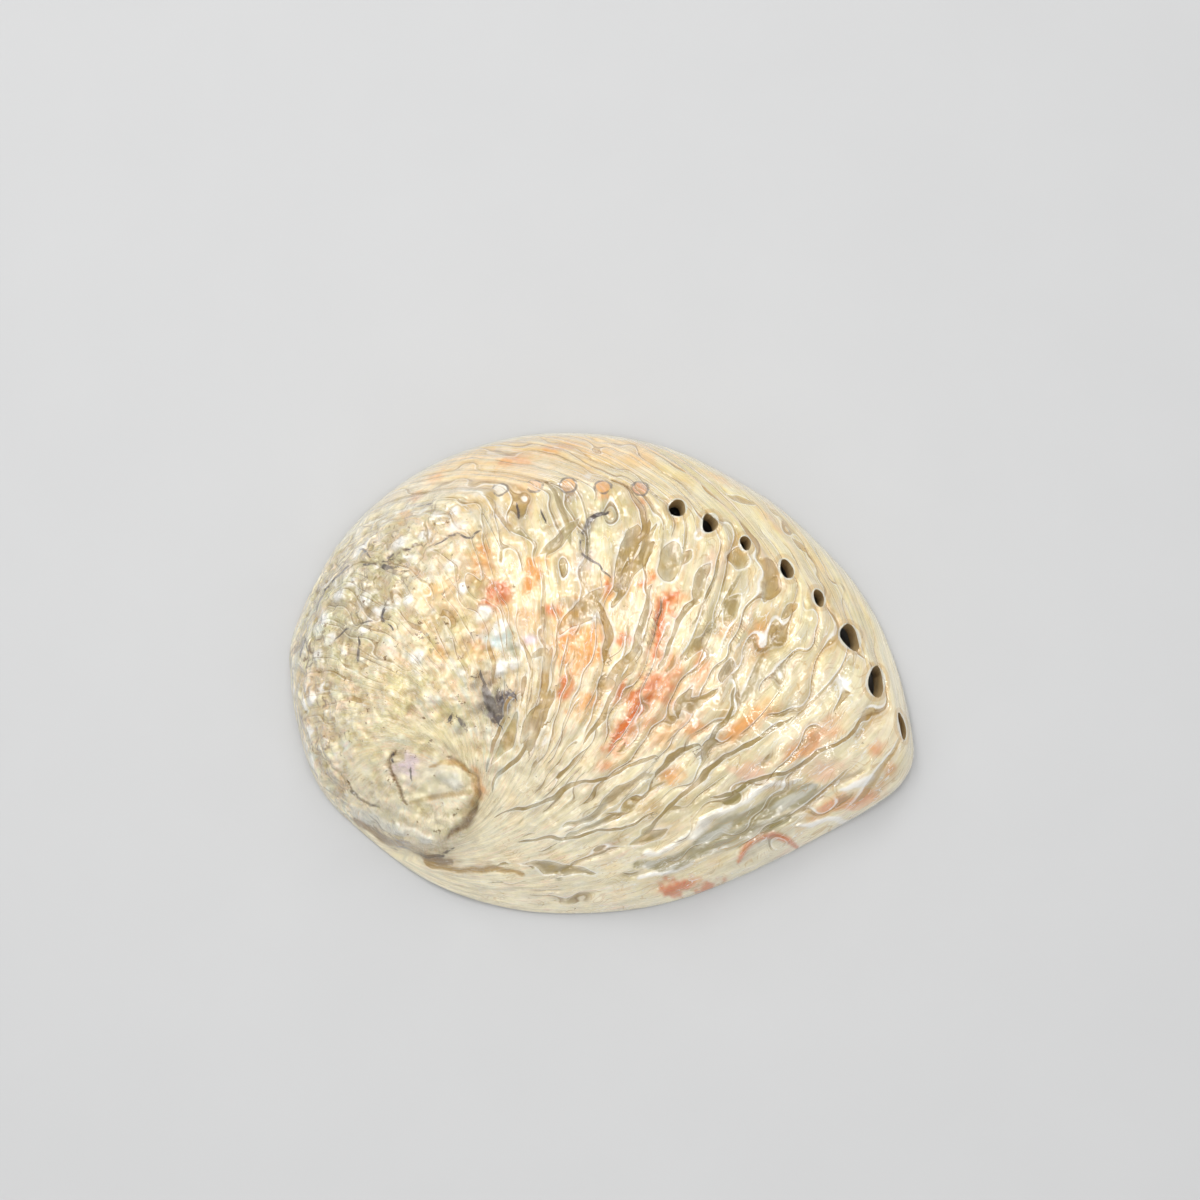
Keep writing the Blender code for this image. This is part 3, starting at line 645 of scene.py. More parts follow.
def relief(x, y, f):
    """Height of the fine relief over the base."""
    spacing = f["radius"] / RIDGES_PER_RADIAN
    size = np.minimum(spacing / 5.0, 1.0)
    side = np.maximum(GROOVE_SIDE, FINEST_SIDE / spacing)
    total = -GROOVE_DEPTH * size * f["carve"] * groove(f["phase"], f["width"], side)
    total -= SECOND_DEPTH * size * f["carve_2"] * groove(f["second"], f["width_2"], side)
    total -= 2.0 * BROAD_HEIGHT * size * (f["fold"] - 0.5) * f["carve"]
    crown = np.abs((f["phase"] + 0.5) % 1.0 - 0.5) * 2.0
    total += 0.5 * size * f["carve"] * (smooth(crown) - 0.5)
    total -= 0.5 * within(f["pool"], 0.6, 0.7)
    for away, row in zip(f["streaks"], STREAKS):
        total -= row[4] * within(away, 0.3, 0.9)
    total -= 1.3 * within(f["trough"], 0.0, 1.2)
    total += 0.35 * lip_folds(x, y) * within(f["trough"], 0.8, 1.2)
    total += 0.8 * within(f["arc"], 0.2, 1.2)
    total += 0.9 * f["nodule"]
    off = f["outward"] * f["radius"]
    keel = sum(height * np.exp(-((off - middle) / width) ** 2) for middle, width, height in ROW_BANDS)
    total += keel * smooth((f["radius"] - ROW_FADE) / ROW_FADE)
    for hx, hy, reach, _ in CLOSED_HOLES:
        total += CLOSED_HEIGHT * (bump(x, y, (hx, hy), 1.25 * reach) - bump(x, y, (hx, hy), 0.62 * reach))
    for hx, hy, length, width, _ in HOLES:
        total += COLLAR_HEIGHT * bump(x, y, (hx, hy), 0.5 * (length + width))
    total -= 0.6 * np.exp(-np.maximum(f["collar"], 0.0) / 0.6)
    total += f["knots"] * f["old"]
    total += 0.2 * noise(x, y, 3.0, 54) * f["inside_knob"]
    total += BLISTER[3] * bump(x, y, BLISTER, BLISTER[2])
    soft = 0.16 * noise(x, y, 4.5, 55) + 0.08 * noise(x, y, 2.2, 56)
    return (total + soft) * smooth((1.0 - f["rho"]) / 0.05)


def outer_height(x, y, f):
    """Height of the outer face with its relief, which never sinks below the edge."""
    return np.maximum(base_height(x, y) + relief(x, y, f), outer_edge(*from_crown(x, y)))


def bowl_height(psi, rho, x, y):
    """Height of the inner face at a share of the way to its edge."""
    edge = rim_lift(psi) * towards_rim(rho)
    hollow = SPIRE_HOLLOW[3] * bump(x, y, SPIRE_HOLLOW, SPIRE_HOLLOW[2]) * smooth((1.0 - rho) / 0.25)
    waves = 0.12 * noise(x, y, 11.0, 61) * smooth((1.0 - rho) / 0.2)
    return profile(psi, rho, HEIGHT - WALL, BOWL_PROFILES) + edge + hollow + waves


def disc(rings):
    """Vertices of a disc as (direction, share of the way out), and its triangles facing up."""
    psi, rho, faces = [0.0], [0.0], []
    for ring in range(1, rings + 1):
        for step in range(6 * ring):
            psi.append(math.pi * step / (3.0 * ring))
            rho.append(math.sin(RING_CROWDING * ring / rings) / math.sin(RING_CROWDING))
        start, inner = 1 + 3 * ring * (ring - 1), 1 + 3 * (ring - 1) * (ring - 2) if ring > 1 else 0
        count, inner_count = 6 * ring, max(6 * (ring - 1), 1)
        for side in range(6):
            for i in range(ring):
                a = start + side * ring + i
                b = start + (side * ring + i + 1) % count
                c = inner + (side * (ring - 1) + i) % inner_count
                faces.append((a, b, c))
                if i < ring - 1:
                    faces.append((c, b, inner + (side * (ring - 1) + i + 1) % inner_count))
    return np.array(psi), np.array(rho), faces


def strip(first, first_count, second, second_count):
    """Triangles between two closed loops that start at the same direction, facing down."""
    faces, i, j = [], 0, 0
    while i < first_count or j < second_count:
        if j == second_count or (i < first_count and (i + 1) * second_count <= (j + 1) * first_count):
            faces.append((first + (i + 1) % first_count, first + i % first_count, second + j % second_count))
            i += 1
        else:
            faces.append((second + j % second_count, second + (j + 1) % second_count,
                          first + i % first_count))
            j += 1
    return faces


def place(psi, distance):
    """Plan position at a direction and distance from the crown."""
    return CROWN[0] + distance * np.cos(psi), CROWN[1] + distance * np.sin(psi)


def shell_mesh():
    """The closed mesh of the shell without its holes: outer face, rounded rim, bowl."""
    psi, rho, outer_faces = disc(OUTER_RINGS)
    x, y = place(psi, rho * edge_radius(psi))
    outer = np.stack([x, y, outer_height(x, y, fields(x, y))], 1)
    count = 6 * OUTER_RINGS
    around = 2.0 * math.pi * np.arange(count) / count
    loops = []
    for setback, height in ((0.0, 0.45), (0.15, 0.15), (EDGE_SETBACK, 0.0)):
        x, y = place(around, edge_radius(around) - setback)
        loops.append(np.stack([x, y, rim_lift(around) + height * EDGE_HEIGHT], 1))
    psi, rho, inner_faces = disc(INNER_RINGS)
    reach = edge_radius(psi) - by_direction(RIM_WIDTHS, np.degrees(psi))
    x, y = place(psi, rho * reach)
    inner = np.stack([x, y, bowl_height(psi, rho, x, y)], 1)
    points = np.concatenate([outer] + loops + [inner])
    inner_start = len(outer) + count * len(loops)
    inner_count = 6 * INNER_RINGS
    edges = [len(outer) - count + count * i for i in range(len(loops) + 1)]
    rim_faces = []
    for first, second in zip(edges, edges[1:]):
        rim_faces += strip(first, count, second, count)
    rim_faces += strip(edges[-1], count, inner_start + len(inner) - inner_count, inner_count)
    inner_faces = [tuple(inner_start + v for v in face[::-1]) for face in inner_faces]
    mesh = bpy.data.meshes.new("shell")
    mesh.from_pydata((points * MM).tolist(), [], outer_faces + rim_faces + inner_faces)
    slots = [0] * len(outer_faces) + [1] * (len(rim_faces) + len(inner_faces))
    mesh.polygons.foreach_set("material_index", slots)
    return mesh


def hole_plugs():
    """All the tapered plugs that cut the breathing holes, as one mesh."""
    points, faces = [], []
    for number, (x, y, length, width, direction) in enumerate(HOLES):
        along = math.radians(direction)
        top = float(base_height(np.array([x]), np.array([y]))[0])
        away = np.array([x - CROWN[0], y - CROWN[1]])
        away = away / np.linalg.norm(away)
        first = len(points)
        ends = ((PLUG_REACH[0] * WALL, 1.0 / HOLE_TAPER), (PLUG_REACH[1] * WALL, HOLE_TAPER**1.5))
        for level, size in ends:
            for side in range(HOLE_SIDES):
                turn = 2.0 * math.pi * (side + 0.5) / HOLE_SIDES
                lobe = 1.0 + HOLE_LOBES * math.sin(2.0 * turn + number)
                lobe += HOLE_LOBES * math.sin(3.0 * turn + 2.0 * number)
                a = 0.5 * length * size * lobe * math.cos(turn)
                b = 0.5 * width * size * lobe * math.sin(turn)
                px = x + a * math.cos(along) - b * math.sin(along) + away[0] * HOLE_LEAN * level
                py = y + a * math.sin(along) + b * math.cos(along) + away[1] * HOLE_LEAN * level
                points.append((px * MM, py * MM, (top + level) * MM))
        n = HOLE_SIDES
        faces += [tuple(range(first, first + n)), tuple(range(first + 2 * n - 1, first + n - 1, -1))]
        faces += [(first + i, first + n + i, first + n + (i + 1) % n, first + (i + 1) % n) for i in range(n)]
    mesh = bpy.data.meshes.new("hole_plugs")
    mesh.from_pydata(points, [], faces)
    mesh.polygons.foreach_set("material_index", [2] * len(faces))
    return mesh


def drilled_shell(materials):
    """The shell with its holes cut, as one plain mesh object."""
    body = bpy.data.objects.new("shell_blank", shell_mesh())
    plugs = bpy.data.objects.new("hole_plugs", hole_plugs())
    for item in (body, plugs):
        bpy.context.collection.objects.link(item)
        for material in materials:
            item.data.materials.append(material)
    modifier = body.modifiers.new("holes", "BOOLEAN")
    modifier.operation = "DIFFERENCE"
    modifier.solver = "EXACT"
    modifier.object = plugs
    result = body.evaluated_get(bpy.context.evaluated_depsgraph_get())
    mesh = bpy.data.meshes.new_from_object(result)
    for item in (body, plugs):
        bpy.data.objects.remove(item, do_unlink=True)
    mesh.name = "pearly_shell"
    shell = bpy.data.objects.new("pearly_shell", mesh)
    bpy.context.collection.objects.link(shell)
    mesh.shade_smooth()
    mesh.set_sharp_from_angle(angle=math.radians(50.0))
    return shell


def mixed(under, over, share):
    """Colour between two arrays of colours."""
    return under + (over - under) * np.clip(share, 0.0, 1.0)[:, None]


def region_tints(x, y):
    """Broad tints of the plateaus and of the grooves, which flow into each other."""
    face, deep, weight = np.zeros((len(x), 3)), np.zeros((len(x), 3)), np.full(len(x), 1e-6)
    bent_x, bent_y = x + 4.0 * noise(x, y, 14.0, 71), y + 4.0 * noise(x, y, 14.0, 72)
    for px, py, radius, high, low in REGIONS:
        cx, cy = on_shell([(px, py)])[0]
        share = np.exp(-((bent_x - cx) ** 2 + (bent_y - cy) ** 2) / (radius * PIXEL) ** 2) + 1e-7
        face += share[:, None] * linear(high)
        deep += share[:, None] * linear(low)
        weight += share
    return face / weight[:, None], deep / weight[:, None]


def tints(x, y, f):
    """Colours of the plateaus and of the grooves. The fields gain the share that is painted over."""
    face, deep = region_tints(x, y)
    mottle = noise(x, y, 9.0, 73)
    face = mixed(face, linear("ivory"), 0.45 * smooth((mottle - 0.2) / 0.8))
    face = mixed(face, linear("peach"), 0.30 * smooth((-mottle - 0.3) / 0.8) * (1.0 - f["old"]))
    # Painted shade in the hollows between the old part's knots, and a painted highlight on their tops
    crevice_shade = f["old"] * smooth((-f["knots"] - 0.1) / 0.7)
    face = mixed(mixed(face, deep, 0.6 * crevice_shade), linear("brown"), 0.35 * crevice_shade**2)
    face = mixed(face, linear("ivory"), 0.85 * f["old"] * smooth((f["knots"] - 0.05) / 0.5))
    # Darker in the low broad folds and paler on the high ones: partly the shell's darker outer layer left in
    # the hollows, partly painted shade and highlight
    face = mixed(face, deep, 0.5 * f["fold"] ** 2 * f["carve"])
    face = mixed(face, linear("ivory"), 0.5 * (1.0 - f["fold"]) ** 2 * f["carve"])

    # Stains and streaks, each over the ones before; some streaks are painted shade or painted highlights
    painted = f["nodule"]
    edge = 0.22 * noise(x, y, 5.0, 74) + 0.16 * noise(x, y, 2.2, 75)
    for px, py, length, width, turn, name, share in STAINS:
        away = oval(x, y, (px, py), 1.25 * length, 1.15 * width, turn) + edge
        around = share * within(away, 0.5, 0.95)
        face = mixed(face, linear(name), 0.85 * around)
        face = mixed(face, linear(name), 0.95 * share * within(away, 0.15, 0.65))
        painted = np.maximum(painted, around)
    for away, (_, _, name, share, _) in zip(f["streaks"], STREAKS):
        over = share * within(away, 0.55, 0.6)
        face = mixed(face, linear(name), over)
        painted = np.maximum(painted, over)

    # Nodules with their painted highlight, closed holes, the blister's arc, the troughs with their painted
    # reflection, and the rim
    # Painted highlight on the nodules
    face = mixed(face, linear("white"), 0.85 * f["nodule"])
    for hx, hy, size, name in CLOSED_HOLES:
        face = mixed(face, linear(name), within(np.hypot(x - hx, y - hy) / size, 0.5, 0.2))
    arc = within(f["arc"], 0.3, 0.9)
    face, deep = mixed(face, linear("ember"), 0.8 * arc), mixed(deep, linear("ember"), 0.8 * arc)
    # The troughs' grey and the silver streaks along their folds are painted reflection and painted highlights
    trough = within(f["trough"], 0.7, 0.4)
    face = mixed(face, 0.4 * linear("grey") + 0.6 * linear("olive"), 0.95 * trough)
    face = mixed(face, linear("silver"), 0.8 * trough * smooth((lip_folds(x, y) - 0.1) / 0.5))
    f["painted"] = np.maximum(painted, np.maximum(arc, trough))
    rim = smooth((f["rho"] - 0.95) / 0.03) * (1.0 - f["painted"])
    return mixed(face, linear("ivory"), rim), mixed(deep, linear("cream"), rim)


def solid(name):
    """A named colour as a shader takes it."""
    return (*[float(v) for v in linear(name)], 1.0)


class Tree:
    """Shorthand for a material's nodes. A value is a number or another node's output."""

    def __init__(self, name):
        self.material = bpy.data.materials.new(name)
        self.material.use_nodes = True
        self.tree = self.material.node_tree
        self.shader = self.tree.nodes["Principled BSDF"]
        self.here = self.add("ShaderNodeTexCoord").outputs["Object"]

    def add(self, kind, **settings):
        node = self.tree.nodes.new(kind)
        for name, value in settings.items():
            setattr(node, name, value)
        return node

    def put(self, socket, value):
        if isinstance(value, bpy.types.NodeSocket):
            self.tree.links.new(value, socket)
        else:
            socket.default_value = value

    def feed(self, node, values):
        """Puts values in a node's inputs by their names."""
        for name, value in values.items():
            self.put(node.inputs[name], value)

    def wired(self, node, values):
        """Puts values in a node's first inputs, and returns its first output."""
        for socket, value in zip(node.inputs, values):
            self.put(socket, value)
        return node.outputs[0]

    def calc(self, operation, *values):
        """One operation over its values, taken in order."""
        result = self.wired(self.add("ShaderNodeMath", operation=operation), values[:2])
        for value in values[2:]:
            result = self.wired(self.add("ShaderNodeMath", operation=operation), (result, value))
        return result

    def plus(self, *values):
        return self.calc("ADD", *values)

    def minus(self, value, less):
        return self.calc("SUBTRACT", value, less)

    def times(self, *values):
        return self.calc("MULTIPLY", *values)

    def most(self, *values):
        return self.calc("MAXIMUM", *values)

    def absolute(self, value):
        return self.calc("ABSOLUTE", value)

    def read(self, name):
        return self.add("ShaderNodeAttribute", attribute_name=name).outputs["Fac"]

    def read_colour(self, name):
        return self.add("ShaderNodeAttribute", attribute_name=name).outputs["Color"]

    def vector(self, x, y, z=0.0):
        return self.wired(self.add("ShaderNodeCombineXYZ"), (x, y, z))

    def grey(self, value):
        return self.vector(value, value, value)

    def grown(self, across, along, z=0.0):
        """The growth coordinates, each stretched by a factor."""
        return self.vector(self.times(self.read("across"), across), self.times(self.read("along"), along), z)

    def seamless(self, value):
        """A value that goes to its middle where the growth angle starts again."""
        return self.plus(0.5, self.times(self.minus(value, 0.5), self.read("seam")))

    def step(self, value, low, high):
        """Smooth step from 0 at low to 1 at high."""
        node = self.add("ShaderNodeMapRange", interpolation_type="SMOOTHSTEP")
        return self.wired(node, (value, low, high, 0.0, 1.0))

    def noise(self, vector, scale, detail=3.0, rough=0.55):
        node = self.add("ShaderNodeTexNoise")
        self.feed(node, {"Vector": vector, "Scale": scale, "Detail": detail, "Roughness": rough})
        return node.outputs["Fac"]

    def patches(self, scale, low, high, detail=3.0):
        """Patches from 0 to 1, where a noise rises from low to high."""
        return self.step(self.noise(self.here, scale, detail), low, high)

    def warped(self, vector, scale, amount):
        """A vector moved about by a noise, by up to half of the amount."""
        noise = self.add("ShaderNodeTexNoise")
        self.feed(noise, {"Vector": vector, "Scale": scale})
        node = self.add("ShaderNodeVectorMath", operation="MULTIPLY_ADD")
        return self.wired(node, (noise.outputs["Color"], (amount, amount, amount), vector))

    def cells(self, vector, scale):
        """Distance in from the edges of an irregular mosaic."""
        node = self.add("ShaderNodeTexVoronoi", feature="DISTANCE_TO_EDGE")
        self.feed(node, {"Vector": vector, "Scale": scale})
        return node.outputs["Distance"]

    def mix(self, factor, under, over, blend="MIX"):
        node = self.add("ShaderNodeMix", data_type="RGBA", blend_type=blend)
        for number, value in ((0, factor), (6, under), (7, over)):
            self.put(node.inputs[number], value)
        return node.outputs[2]

    def cover(self, colour, name, *shares):
        """A colour with a named one over it, by the product of some shares."""
        return self.mix(self.times(*shares), colour, solid(name))

    def ramp(self, value, stops):
        """Colour ramp through named colours at even steps."""
        node = self.add("ShaderNodeValToRGB")
        elements = node.color_ramp.elements
        while len(elements) < len(stops):
            elements.new(0.5)
        for i, name in enumerate(stops):
            elements[i].position = 0.25 + 0.5 * i / (len(stops) - 1)
            elements[i].color = solid(name)
        self.put(node.inputs["Fac"], value)
        return node.outputs["Color"]

    def bumped(self, height, strength):
        """Tilts the surface and its coat by a height in millimetres."""
        node = self.add("ShaderNodeBump")
        self.feed(node, {"Strength": strength, "Distance": MM, "Height": height})
        normal = node.outputs["Normal"]
        self.feed(self.shader, {"Normal": normal, "Coat Normal": normal})


def groove_nodes(t, phase, width, share, ragged):
    """Depth in the groove, its pale edge as a painted highlight brighter on the older side, the painted shade
    on its younger side, and the distance out from it.
    """
    signed = t.minus(t.calc("FRACT", t.plus(t.read(phase), 0.5)), 0.5)
    out = t.minus(t.plus(t.absolute(signed), ragged), t.read(width))
    older = t.step(signed, -0.01, 0.01)
    deep = t.times(t.step(out, 0.040, -0.005), t.step(t.read(share), 0.12, 0.4))
    edge = t.times(t.step(out, 0.11, 0.05), t.read(share))
    edge = t.times(t.minus(edge, deep), t.plus(0.25, t.times(older, 0.75)))
    shade = t.times(t.step(out, 0.28, 0.0), t.minus(1.0, older), t.read(share))
    return deep, edge, shade, out


def groove_marks(t, jitter):
    """Depth of all grooves and pools, their pale edges as painted highlights, painted shade, thin outlines,
    and contours around them.
    """
    ragged = t.times(t.minus(t.noise(t.here, 900.0), 0.5), 0.035)
    deep_1, edge_highlight_1, shade_1, out = groove_nodes(t, "phase", "width", "carve", ragged)
    deep_2, edge_highlight_2, shade_2, _ = groove_nodes(t, "second", "width_2", "carve_2", ragged)
    deep_1 = t.times(deep_1, t.plus(0.5, t.times(t.step(t.read("width"), 0.03, 0.10), 0.5)))
    shade = t.most(shade_1, t.times(shade_2, 0.7))

    away = t.read("pool")
    pool = t.step(t.plus(away, t.times(jitter, 0.15)), 1.05, 0.95)
    pool_edge_highlight = t.minus(t.step(away, 1.45, 1.1), pool)
    pool_line = t.step(t.absolute(t.minus(away, 0.97)), 0.09, 0.03)
    pool = t.plus(t.times(pool, 0.5), t.times(t.step(away, 1.0, 0.35), 0.45))
    long = t.absolute(t.plus(t.read("long"), t.times(jitter, 0.3)))
    near_long = t.step(t.read("near_long"), 4.0, 2.6)
    long_edge_highlight = t.times(t.step(long, 2.2, 1.2), near_long)
    long = t.times(t.step(long, 1.15, 0.9), near_long)

    deep = t.most(deep_1, t.times(deep_2, 0.7), pool, long)
    edge = t.most(edge_highlight_1, edge_highlight_2, t.times(t.most(pool_edge_highlight, long_edge_highlight), 0.6))
    edge = t.most(t.minus(edge, deep), 0.0)
    outline = t.times(t.step(t.absolute(t.plus(out, 0.01)), 0.030, 0.008), t.step(t.read("carve"), 0.2, 0.5))
    outline = t.times(t.most(outline, pool_line), t.patches(190.0, 0.42, 0.56))
    contour = t.calc("FRACT", t.plus(t.times(out, 8.0), t.noise(t.here, 260.0)))
    contour = t.times(t.step(t.absolute(t.minus(contour, 0.5)), 0.16, 0.03), t.patches(180.0, 0.48, 0.62))
    return deep, edge, shade, outline, contour


def wandering_lines(t, scale, width):
    """Thin lines along which a noise passes its middle value."""
    away = t.absolute(t.minus(t.noise(t.grown(1.3, 1.0), scale), 0.5))
    return t.step(away, width, 0.3 * width)


def with_pearl(t, colour, cloud, free):
    """A colour with pearly gleams, dark specks, and moss on the old part."""
    old = t.read("old")
    gleam = t.ramp(t.noise(t.grown(1.0, 1.0, cloud), 0.9),
                   ("moss", "ivory", "pink", "ivory", "sky", "lilac"))
    sheen = t.times(t.step(cloud, 0.40, 0.60), t.plus(0.12, t.times(old, 0.3)), free)
    colour = t.mix(sheen, colour, gleam)
    speck = t.plus(t.noise(t.here, 420.0, 4.0, 0.7), t.times(old, 0.085))
    colour = t.cover(colour, "brown", t.step(speck, 0.70, 0.735), 0.85)
    return t.cover(colour, "moss", t.patches(230.0, 0.52, 0.60, 4.0), old, 0.3)


def with_mosaic(t, colour, cells, cloud, free):
    """A colour with painted highlights on the old part's bosses, painted shade at their edges, and dark
    cracks that are partly painted shade in the crevices.
    """
    knobbly = t.times(t.read("knobbly"), free)
    boss_highlight = t.times(t.step(cells, 0.14, 0.34), t.patches(210.0, 0.44, 0.60))
    colour = t.cover(colour, "white", boss_highlight, knobbly, 0.85)
    # Painted shade at the edges of the bosses
    colour = t.mix(t.times(t.step(cells, 0.20, 0.03), knobbly, 0.4), colour, t.read_colour("deep"))
    # Dark cracks, partly painted shade in the crevices
    crack_and_crevice_shade = t.times(t.step(cells, 0.075, 0.015), t.patches(120.0, 0.54, 0.61), knobbly)
    return t.mix(t.times(crack_and_crevice_shade, 0.8), colour, t.mix(cloud, solid("brown"), solid("slate")))


def with_marks(t, colour, vein, cloud, jitter):
    """A colour with dark veins, rings around closed holes, and collars around open ones whose silver lip is
    partly nacre and partly a painted highlight.
    """
    colour = t.cover(colour, "slate", t.step(t.read("near_vein"), 3.2, 1.0), 0.18)
    ring = t.absolute(t.minus(t.plus(t.read("ring"), t.times(jitter, 0.12)), 1.0))
    colour = t.cover(colour, "slate", t.step(ring, 0.20, 0.10), t.patches(330.0, 0.36, 0.50), 0.75)
    dark = t.mix(t.step(cloud, 0.42, 0.56), solid("plum"), solid("slate"))
    colour = t.mix(t.times(vein, 0.85), colour, dark)
    collar = t.plus(t.read("collar"), t.times(jitter, 0.25))
    colour = t.cover(colour, "amber", t.step(collar, 0.25, 0.45), t.step(collar, 1.7, 1.3), 0.45)
    # Silver lip of each open hole: partly nacre, partly a painted highlight
    return t.cover(colour, "silver", t.step(collar, 0.40, 0.20), 0.8)


def with_tone(t, colour):
    """A colour with fine grain, and lighter and darker in streaks or, on the old part, in blotches."""
    streaks = t.step(t.seamless(t.noise(t.grown(1.7, 1.2, 3.0), 1.0, 5.0, 0.65)), 0.36, 0.62)
    blotches = t.step(t.noise(t.here, 240.0, 4.0, 0.65), 0.36, 0.60)
    swing = t.mix(t.read("old"), t.grey(streaks), t.grey(blotches))
    tone = t.plus(0.80, t.times(t.noise(t.here, 1500.0, 2.0), 0.16), t.times(swing, 0.24))
    return t.mix(1.0, colour, t.grey(tone), "MULTIPLY")


def outer_material():
    """Polished outer face: cream plateaus with stains, tan grooves, dark veins and pearly gleams, with
    painted highlights and painted shade beside the grooves and on the old part.
    """
    t = Tree("polished_shell_outside")
    free = t.minus(1.0, t.times(t.read("painted"), 0.85))
    jitter = t.times(t.minus(t.noise(t.here, 700.0), 0.5), 1.1)
    cloud = t.noise(t.here, 160.0, 4.0)
    striae = t.seamless(t.noise(t.grown(5.0, 0.7), 1.0, 4.0, 0.65))
    streak = t.seamless(t.noise(t.grown(2.2, 1.3), 1.0, 4.0, 0.6))
    pale = t.times(wandering_lines(t, 1.7, 0.009), t.patches(75.0, 0.42, 0.52))
    warm = t.times(wandering_lines(t, 1.0, 0.012), t.patches(95.0, 0.45, 0.58))
    cells = t.cells(t.warped(t.warped(t.here, 90.0, 0.012), 330.0, 0.004), 165.0)
    deep, edge, shade, outline, contour = groove_marks(t, jitter)
    vein = t.step(t.absolute(t.plus(t.read("vein"), t.times(jitter, 0.9))), 1.15, 0.8)
    vein = t.times(vein, t.step(t.read("near_vein"), 3.6, 2.4), t.patches(300.0, 0.38, 0.50))

    marble = t.ramp(streak, ("tan", "peach", "ivory", "butter", "ivory", "pink", "amber"))
    colour = t.mix(t.times(free, 0.35), t.read_colour("face"), marble)
    # Painted shade beside the grooves
    colour = t.mix(t.times(shade, 0.6), colour, t.read_colour("deep"))
    colour = t.cover(colour, "tan", t.step(striae, 0.52, 0.72), 0.28)
    colour = t.cover(colour, "ivory", t.step(cloud, 0.52, 0.68), free, 0.3)
    colour = t.cover(colour, "amber", contour, 0.5)
    colour = t.cover(colour, "amber", warm, 0.55)
    colour = t.cover(colour, "white", pale, 0.6)
    # Pale groove and pool edges: painted highlights
    colour = t.cover(colour, "white", edge, 0.8)
    trench = t.mix(t.step(cloud, 0.40, 0.62), t.read_colour("deep"), solid("grey"))
    trench = t.mix(0.35, t.read_colour("deep"), trench)
    colour = t.mix(t.times(deep, 0.88), colour, trench)
    colour = t.cover(colour, "brown", outline, 0.45)
    colour = with_pearl(t, colour, cloud, free)
    colour = with_mosaic(t, colour, cells, cloud, free)
    colour = with_tone(t, with_marks(t, colour, vein, cloud, jitter))

    bosses = t.times(t.step(cells, 0.0, 0.35), t.read("knobbly"), 0.7)
    height = t.plus(t.times(deep, -0.18), t.times(edge, 0.05), t.times(vein, -0.15),
                    t.times(contour, -0.03), t.times(t.minus(pale, warm), 0.06), t.times(striae, 0.12),
                    t.times(streak, 0.45), t.times(cloud, 0.15), t.times(t.noise(t.here, 420.0), 0.12),
                    bosses)
    t.bumped(height, 0.8)
    rough = t.plus(0.12, t.times(cloud, 0.12), t.times(deep, 0.06))
    t.feed(t.shader, {"Base Color": colour, "Roughness": rough, "Specular IOR Level": 0.35,
                      "Coat Weight": 1.0, "Coat Roughness": 0.04, "Coat IOR": 1.75})
    return t.material


def inner_material():
    """Nacre of the bowl: silver with bands of pink, green and blue that follow the growth lines."""
    t = Tree("nacre_inside")
    flow = t.seamless(t.noise(t.grown(0.35, 0.6, t.noise(t.here, 60.0)), 1.6, 4.0, 0.6))
    fine = t.seamless(t.noise(t.grown(2.0, 1.0), 2.5, 5.0, 0.65))
    scar = t.step(t.plus(t.read("scar"), t.times(t.noise(t.here, 220.0), 0.25)), 1.16, 1.06)
    rough_patch = t.times(scar, t.noise(t.here, 500.0, 4.0))
    colour = t.ramp(flow, ("moss", "white", "pink", "silver", "sky", "white", "lilac", "ivory"))
    colour = t.cover(colour, "silver", t.step(fine, 0.42, 0.65), 0.6)
    colour = t.cover(colour, "grey", scar, 0.45)
    colour = t.cover(colour, "cream", t.step(t.read("rho"), 0.93, 0.975), 0.8)
    t.bumped(t.plus(t.times(flow, 0.35), t.times(fine, 0.06), t.times(rough_patch, 0.4)), 0.8)
    t.feed(t.shader, {"Base Color": colour, "Roughness": t.plus(0.20, t.times(rough_patch, 0.35)),
                      "Metallic": 0.15, "Coat Weight": 0.5, "Coat Roughness": 0.08})
    return t.material


def wall_material():
    """Walls of the breathing holes: layered tan shell."""
    t = Tree("hole_wall")
    node = t.add("ShaderNodeTexWave", wave_type="BANDS", bands_direction="Z")
    t.feed(node, {"Vector": t.here, "Scale": 420.0, "Distortion": 3.0})
    layers = node.outputs["Fac"]
    colour = t.mix(layers, solid("amber"), solid("cream"))
    colour = t.cover(colour, "brown", t.noise(t.here, 600.0), 0.5)
    t.bumped(t.times(layers, 0.06), 0.6)
    t.feed(t.shader, {"Base Color": colour, "Roughness": t.plus(0.3, t.times(t.noise(t.here, 300.0), 0.2))})
    return t.material


PAINTED_FIELDS = ("across", "along", "phase", "width", "carve", "second", "width_2", "carve_2", "old",
                  "knobbly", "pool", "vein", "near_vein", "long", "near_long", "ring", "collar", "rho",
                  "scar", "painted", "seam")


def paint(mesh):
    """Stores the fields that the materials read, at every point of the mesh."""
    flat = np.empty(3 * len(mesh.vertices))
    mesh.vertices.foreach_get("co", flat)
    x, y = flat.reshape(-1, 3)[:, 0] / MM, flat.reshape(-1, 3)[:, 1] / MM
    f = fields(x, y)
    f["scar"] = np.hypot((x + 10.0) / 24.0, (y - 6.0) / 19.0)
    along, aside = turned(x - SPIRE[0], y - SPIRE[1], LIP_ANGLES[0])
    f["seam"] = np.where(along > 0.0, smooth(np.abs(aside) / SEAM_FADE - 0.2), 1.0)
    colours = tints(x, y, f)
    for name in PAINTED_FIELDS:
        mesh.attributes.new(name, "FLOAT", "POINT").data.foreach_set("value", f[name].astype(np.float32))
    for name, colour in zip(("face", "deep"), colours):
        rgba = np.concatenate([np.clip(colour, 0.0, 1.0), np.ones((len(x), 1))], 1).astype(np.float32)
        mesh.color_attributes.new(name, "FLOAT_COLOR", "POINT").data.foreach_set("color", rgba.ravel())


def build_shell():
    """The shell, which stands in for the CAD solid."""
    shell = drilled_shell([outer_material(), inner_material(), wall_material()])
    paint(shell.data)
    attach(shell, "root")
    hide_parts("abalone_shell")


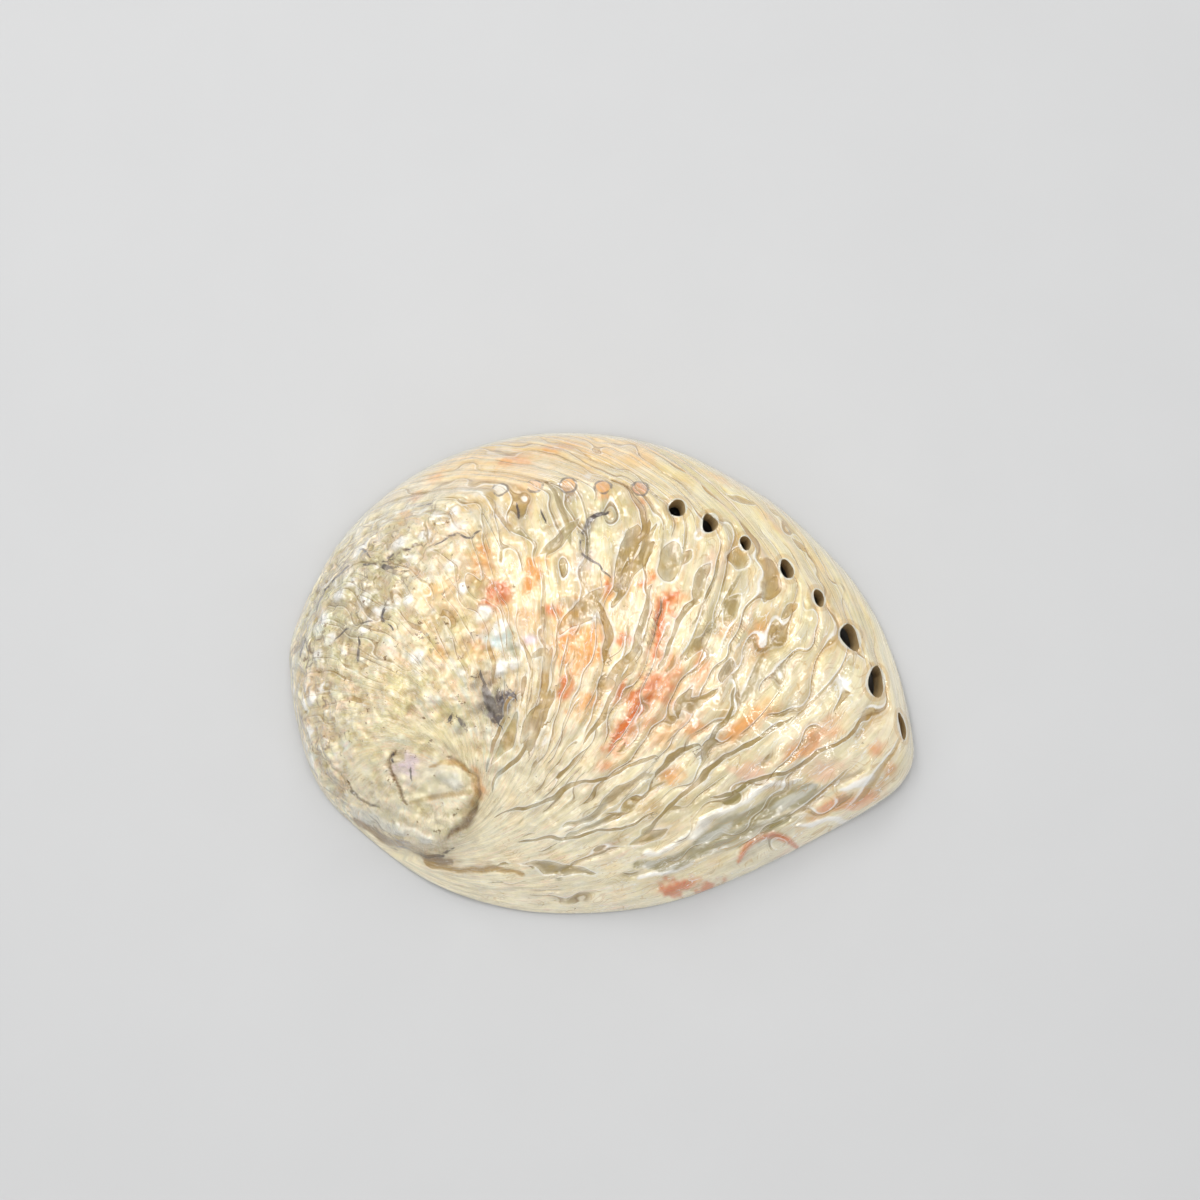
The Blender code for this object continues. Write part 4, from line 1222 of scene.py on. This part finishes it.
def build_floor():
    """A plain pale floor, 8 metres wide."""
    mesh = bpy.data.meshes.new("studio_floor")
    reach = 4.0
    mesh.from_pydata([(-reach, -reach, 0.0), (reach, -reach, 0.0), (reach, reach, 0.0), (-reach, reach, 0.0)],
                     [], [(0, 1, 2, 3)])
    floor = bpy.data.objects.new("studio_floor", mesh)
    bpy.context.collection.objects.link(floor)
    t = Tree("studio_floor")
    tone = t.plus(0.50, t.times(t.noise(t.here, 30.0), 0.02))
    t.feed(t.shader, {"Base Color": t.grey(tone), "Roughness": 0.7})
    mesh.materials.append(t.material)


def area_light(name, place_m, size_m, radiance):
    """A soft panel that faces the shell: place and size in metres, its first side towards the zenith."""
    data = bpy.data.lights.new(name, "AREA")
    data.shape = "RECTANGLE"
    data.size, data.size_y = size_m
    data.energy = radiance * math.pi * size_m[0] * size_m[1]
    light = bpy.data.objects.new(name, data)
    light.location = place_m
    towards = -np.array(place_m) / np.linalg.norm(place_m)
    turn = math.atan2(towards[1], towards[0])
    light.rotation_euler = (0.0, math.acos(-towards[2]), turn + math.pi)
    bpy.context.collection.objects.link(light)


# Narrow panels around the shell: direction and radiance, and how high they stand
STRIPS = [(20, 14.0), (80, 20.0), (135, 21.0), (200, 16.0), (265, 15.0), (325, 12.0)]
STRIP_ELEVATION = 52.0


def build_lights():
    """A dim world, a soft key panel, and narrow strips for crisp glints on every slope."""
    world = bpy.data.worlds.new("studio")
    world.use_nodes = True
    background = world.node_tree.nodes["Background"]
    background.inputs["Color"].default_value = (0.94, 0.97, 1.0, 1.0)
    background.inputs["Strength"].default_value = 0.20
    bpy.context.scene.world = world
    area_light("key_panel", (-0.45, 0.75, 1.0), (0.3, 0.3), 10.0)
    for number, (azimuth, radiance) in enumerate(STRIPS):
        turn, lift = math.radians(azimuth), math.radians(STRIP_ELEVATION)
        spot = (math.cos(turn) * math.cos(lift), math.sin(turn) * math.cos(lift), math.sin(lift))
        area_light(f"strip_{number}", spot, (1.1, 0.045), radiance)


def build_camera():
    """The photograph's camera."""
    data = bpy.data.cameras.new("photo_camera")
    data.lens = LENS
    data.sensor_width = SENSOR
    data.clip_start = 0.01
    camera = bpy.data.objects.new("photo_camera", data)
    camera.location = EYE * MM
    camera.rotation_euler = (math.radians(90.0 - ELEVATION), 0.0, 0.0)
    bpy.context.collection.objects.link(camera)
    bpy.context.scene.camera = camera


build_shell()
build_floor()
build_lights()
build_camera()
bpy.context.scene.view_settings.view_transform = "Standard"
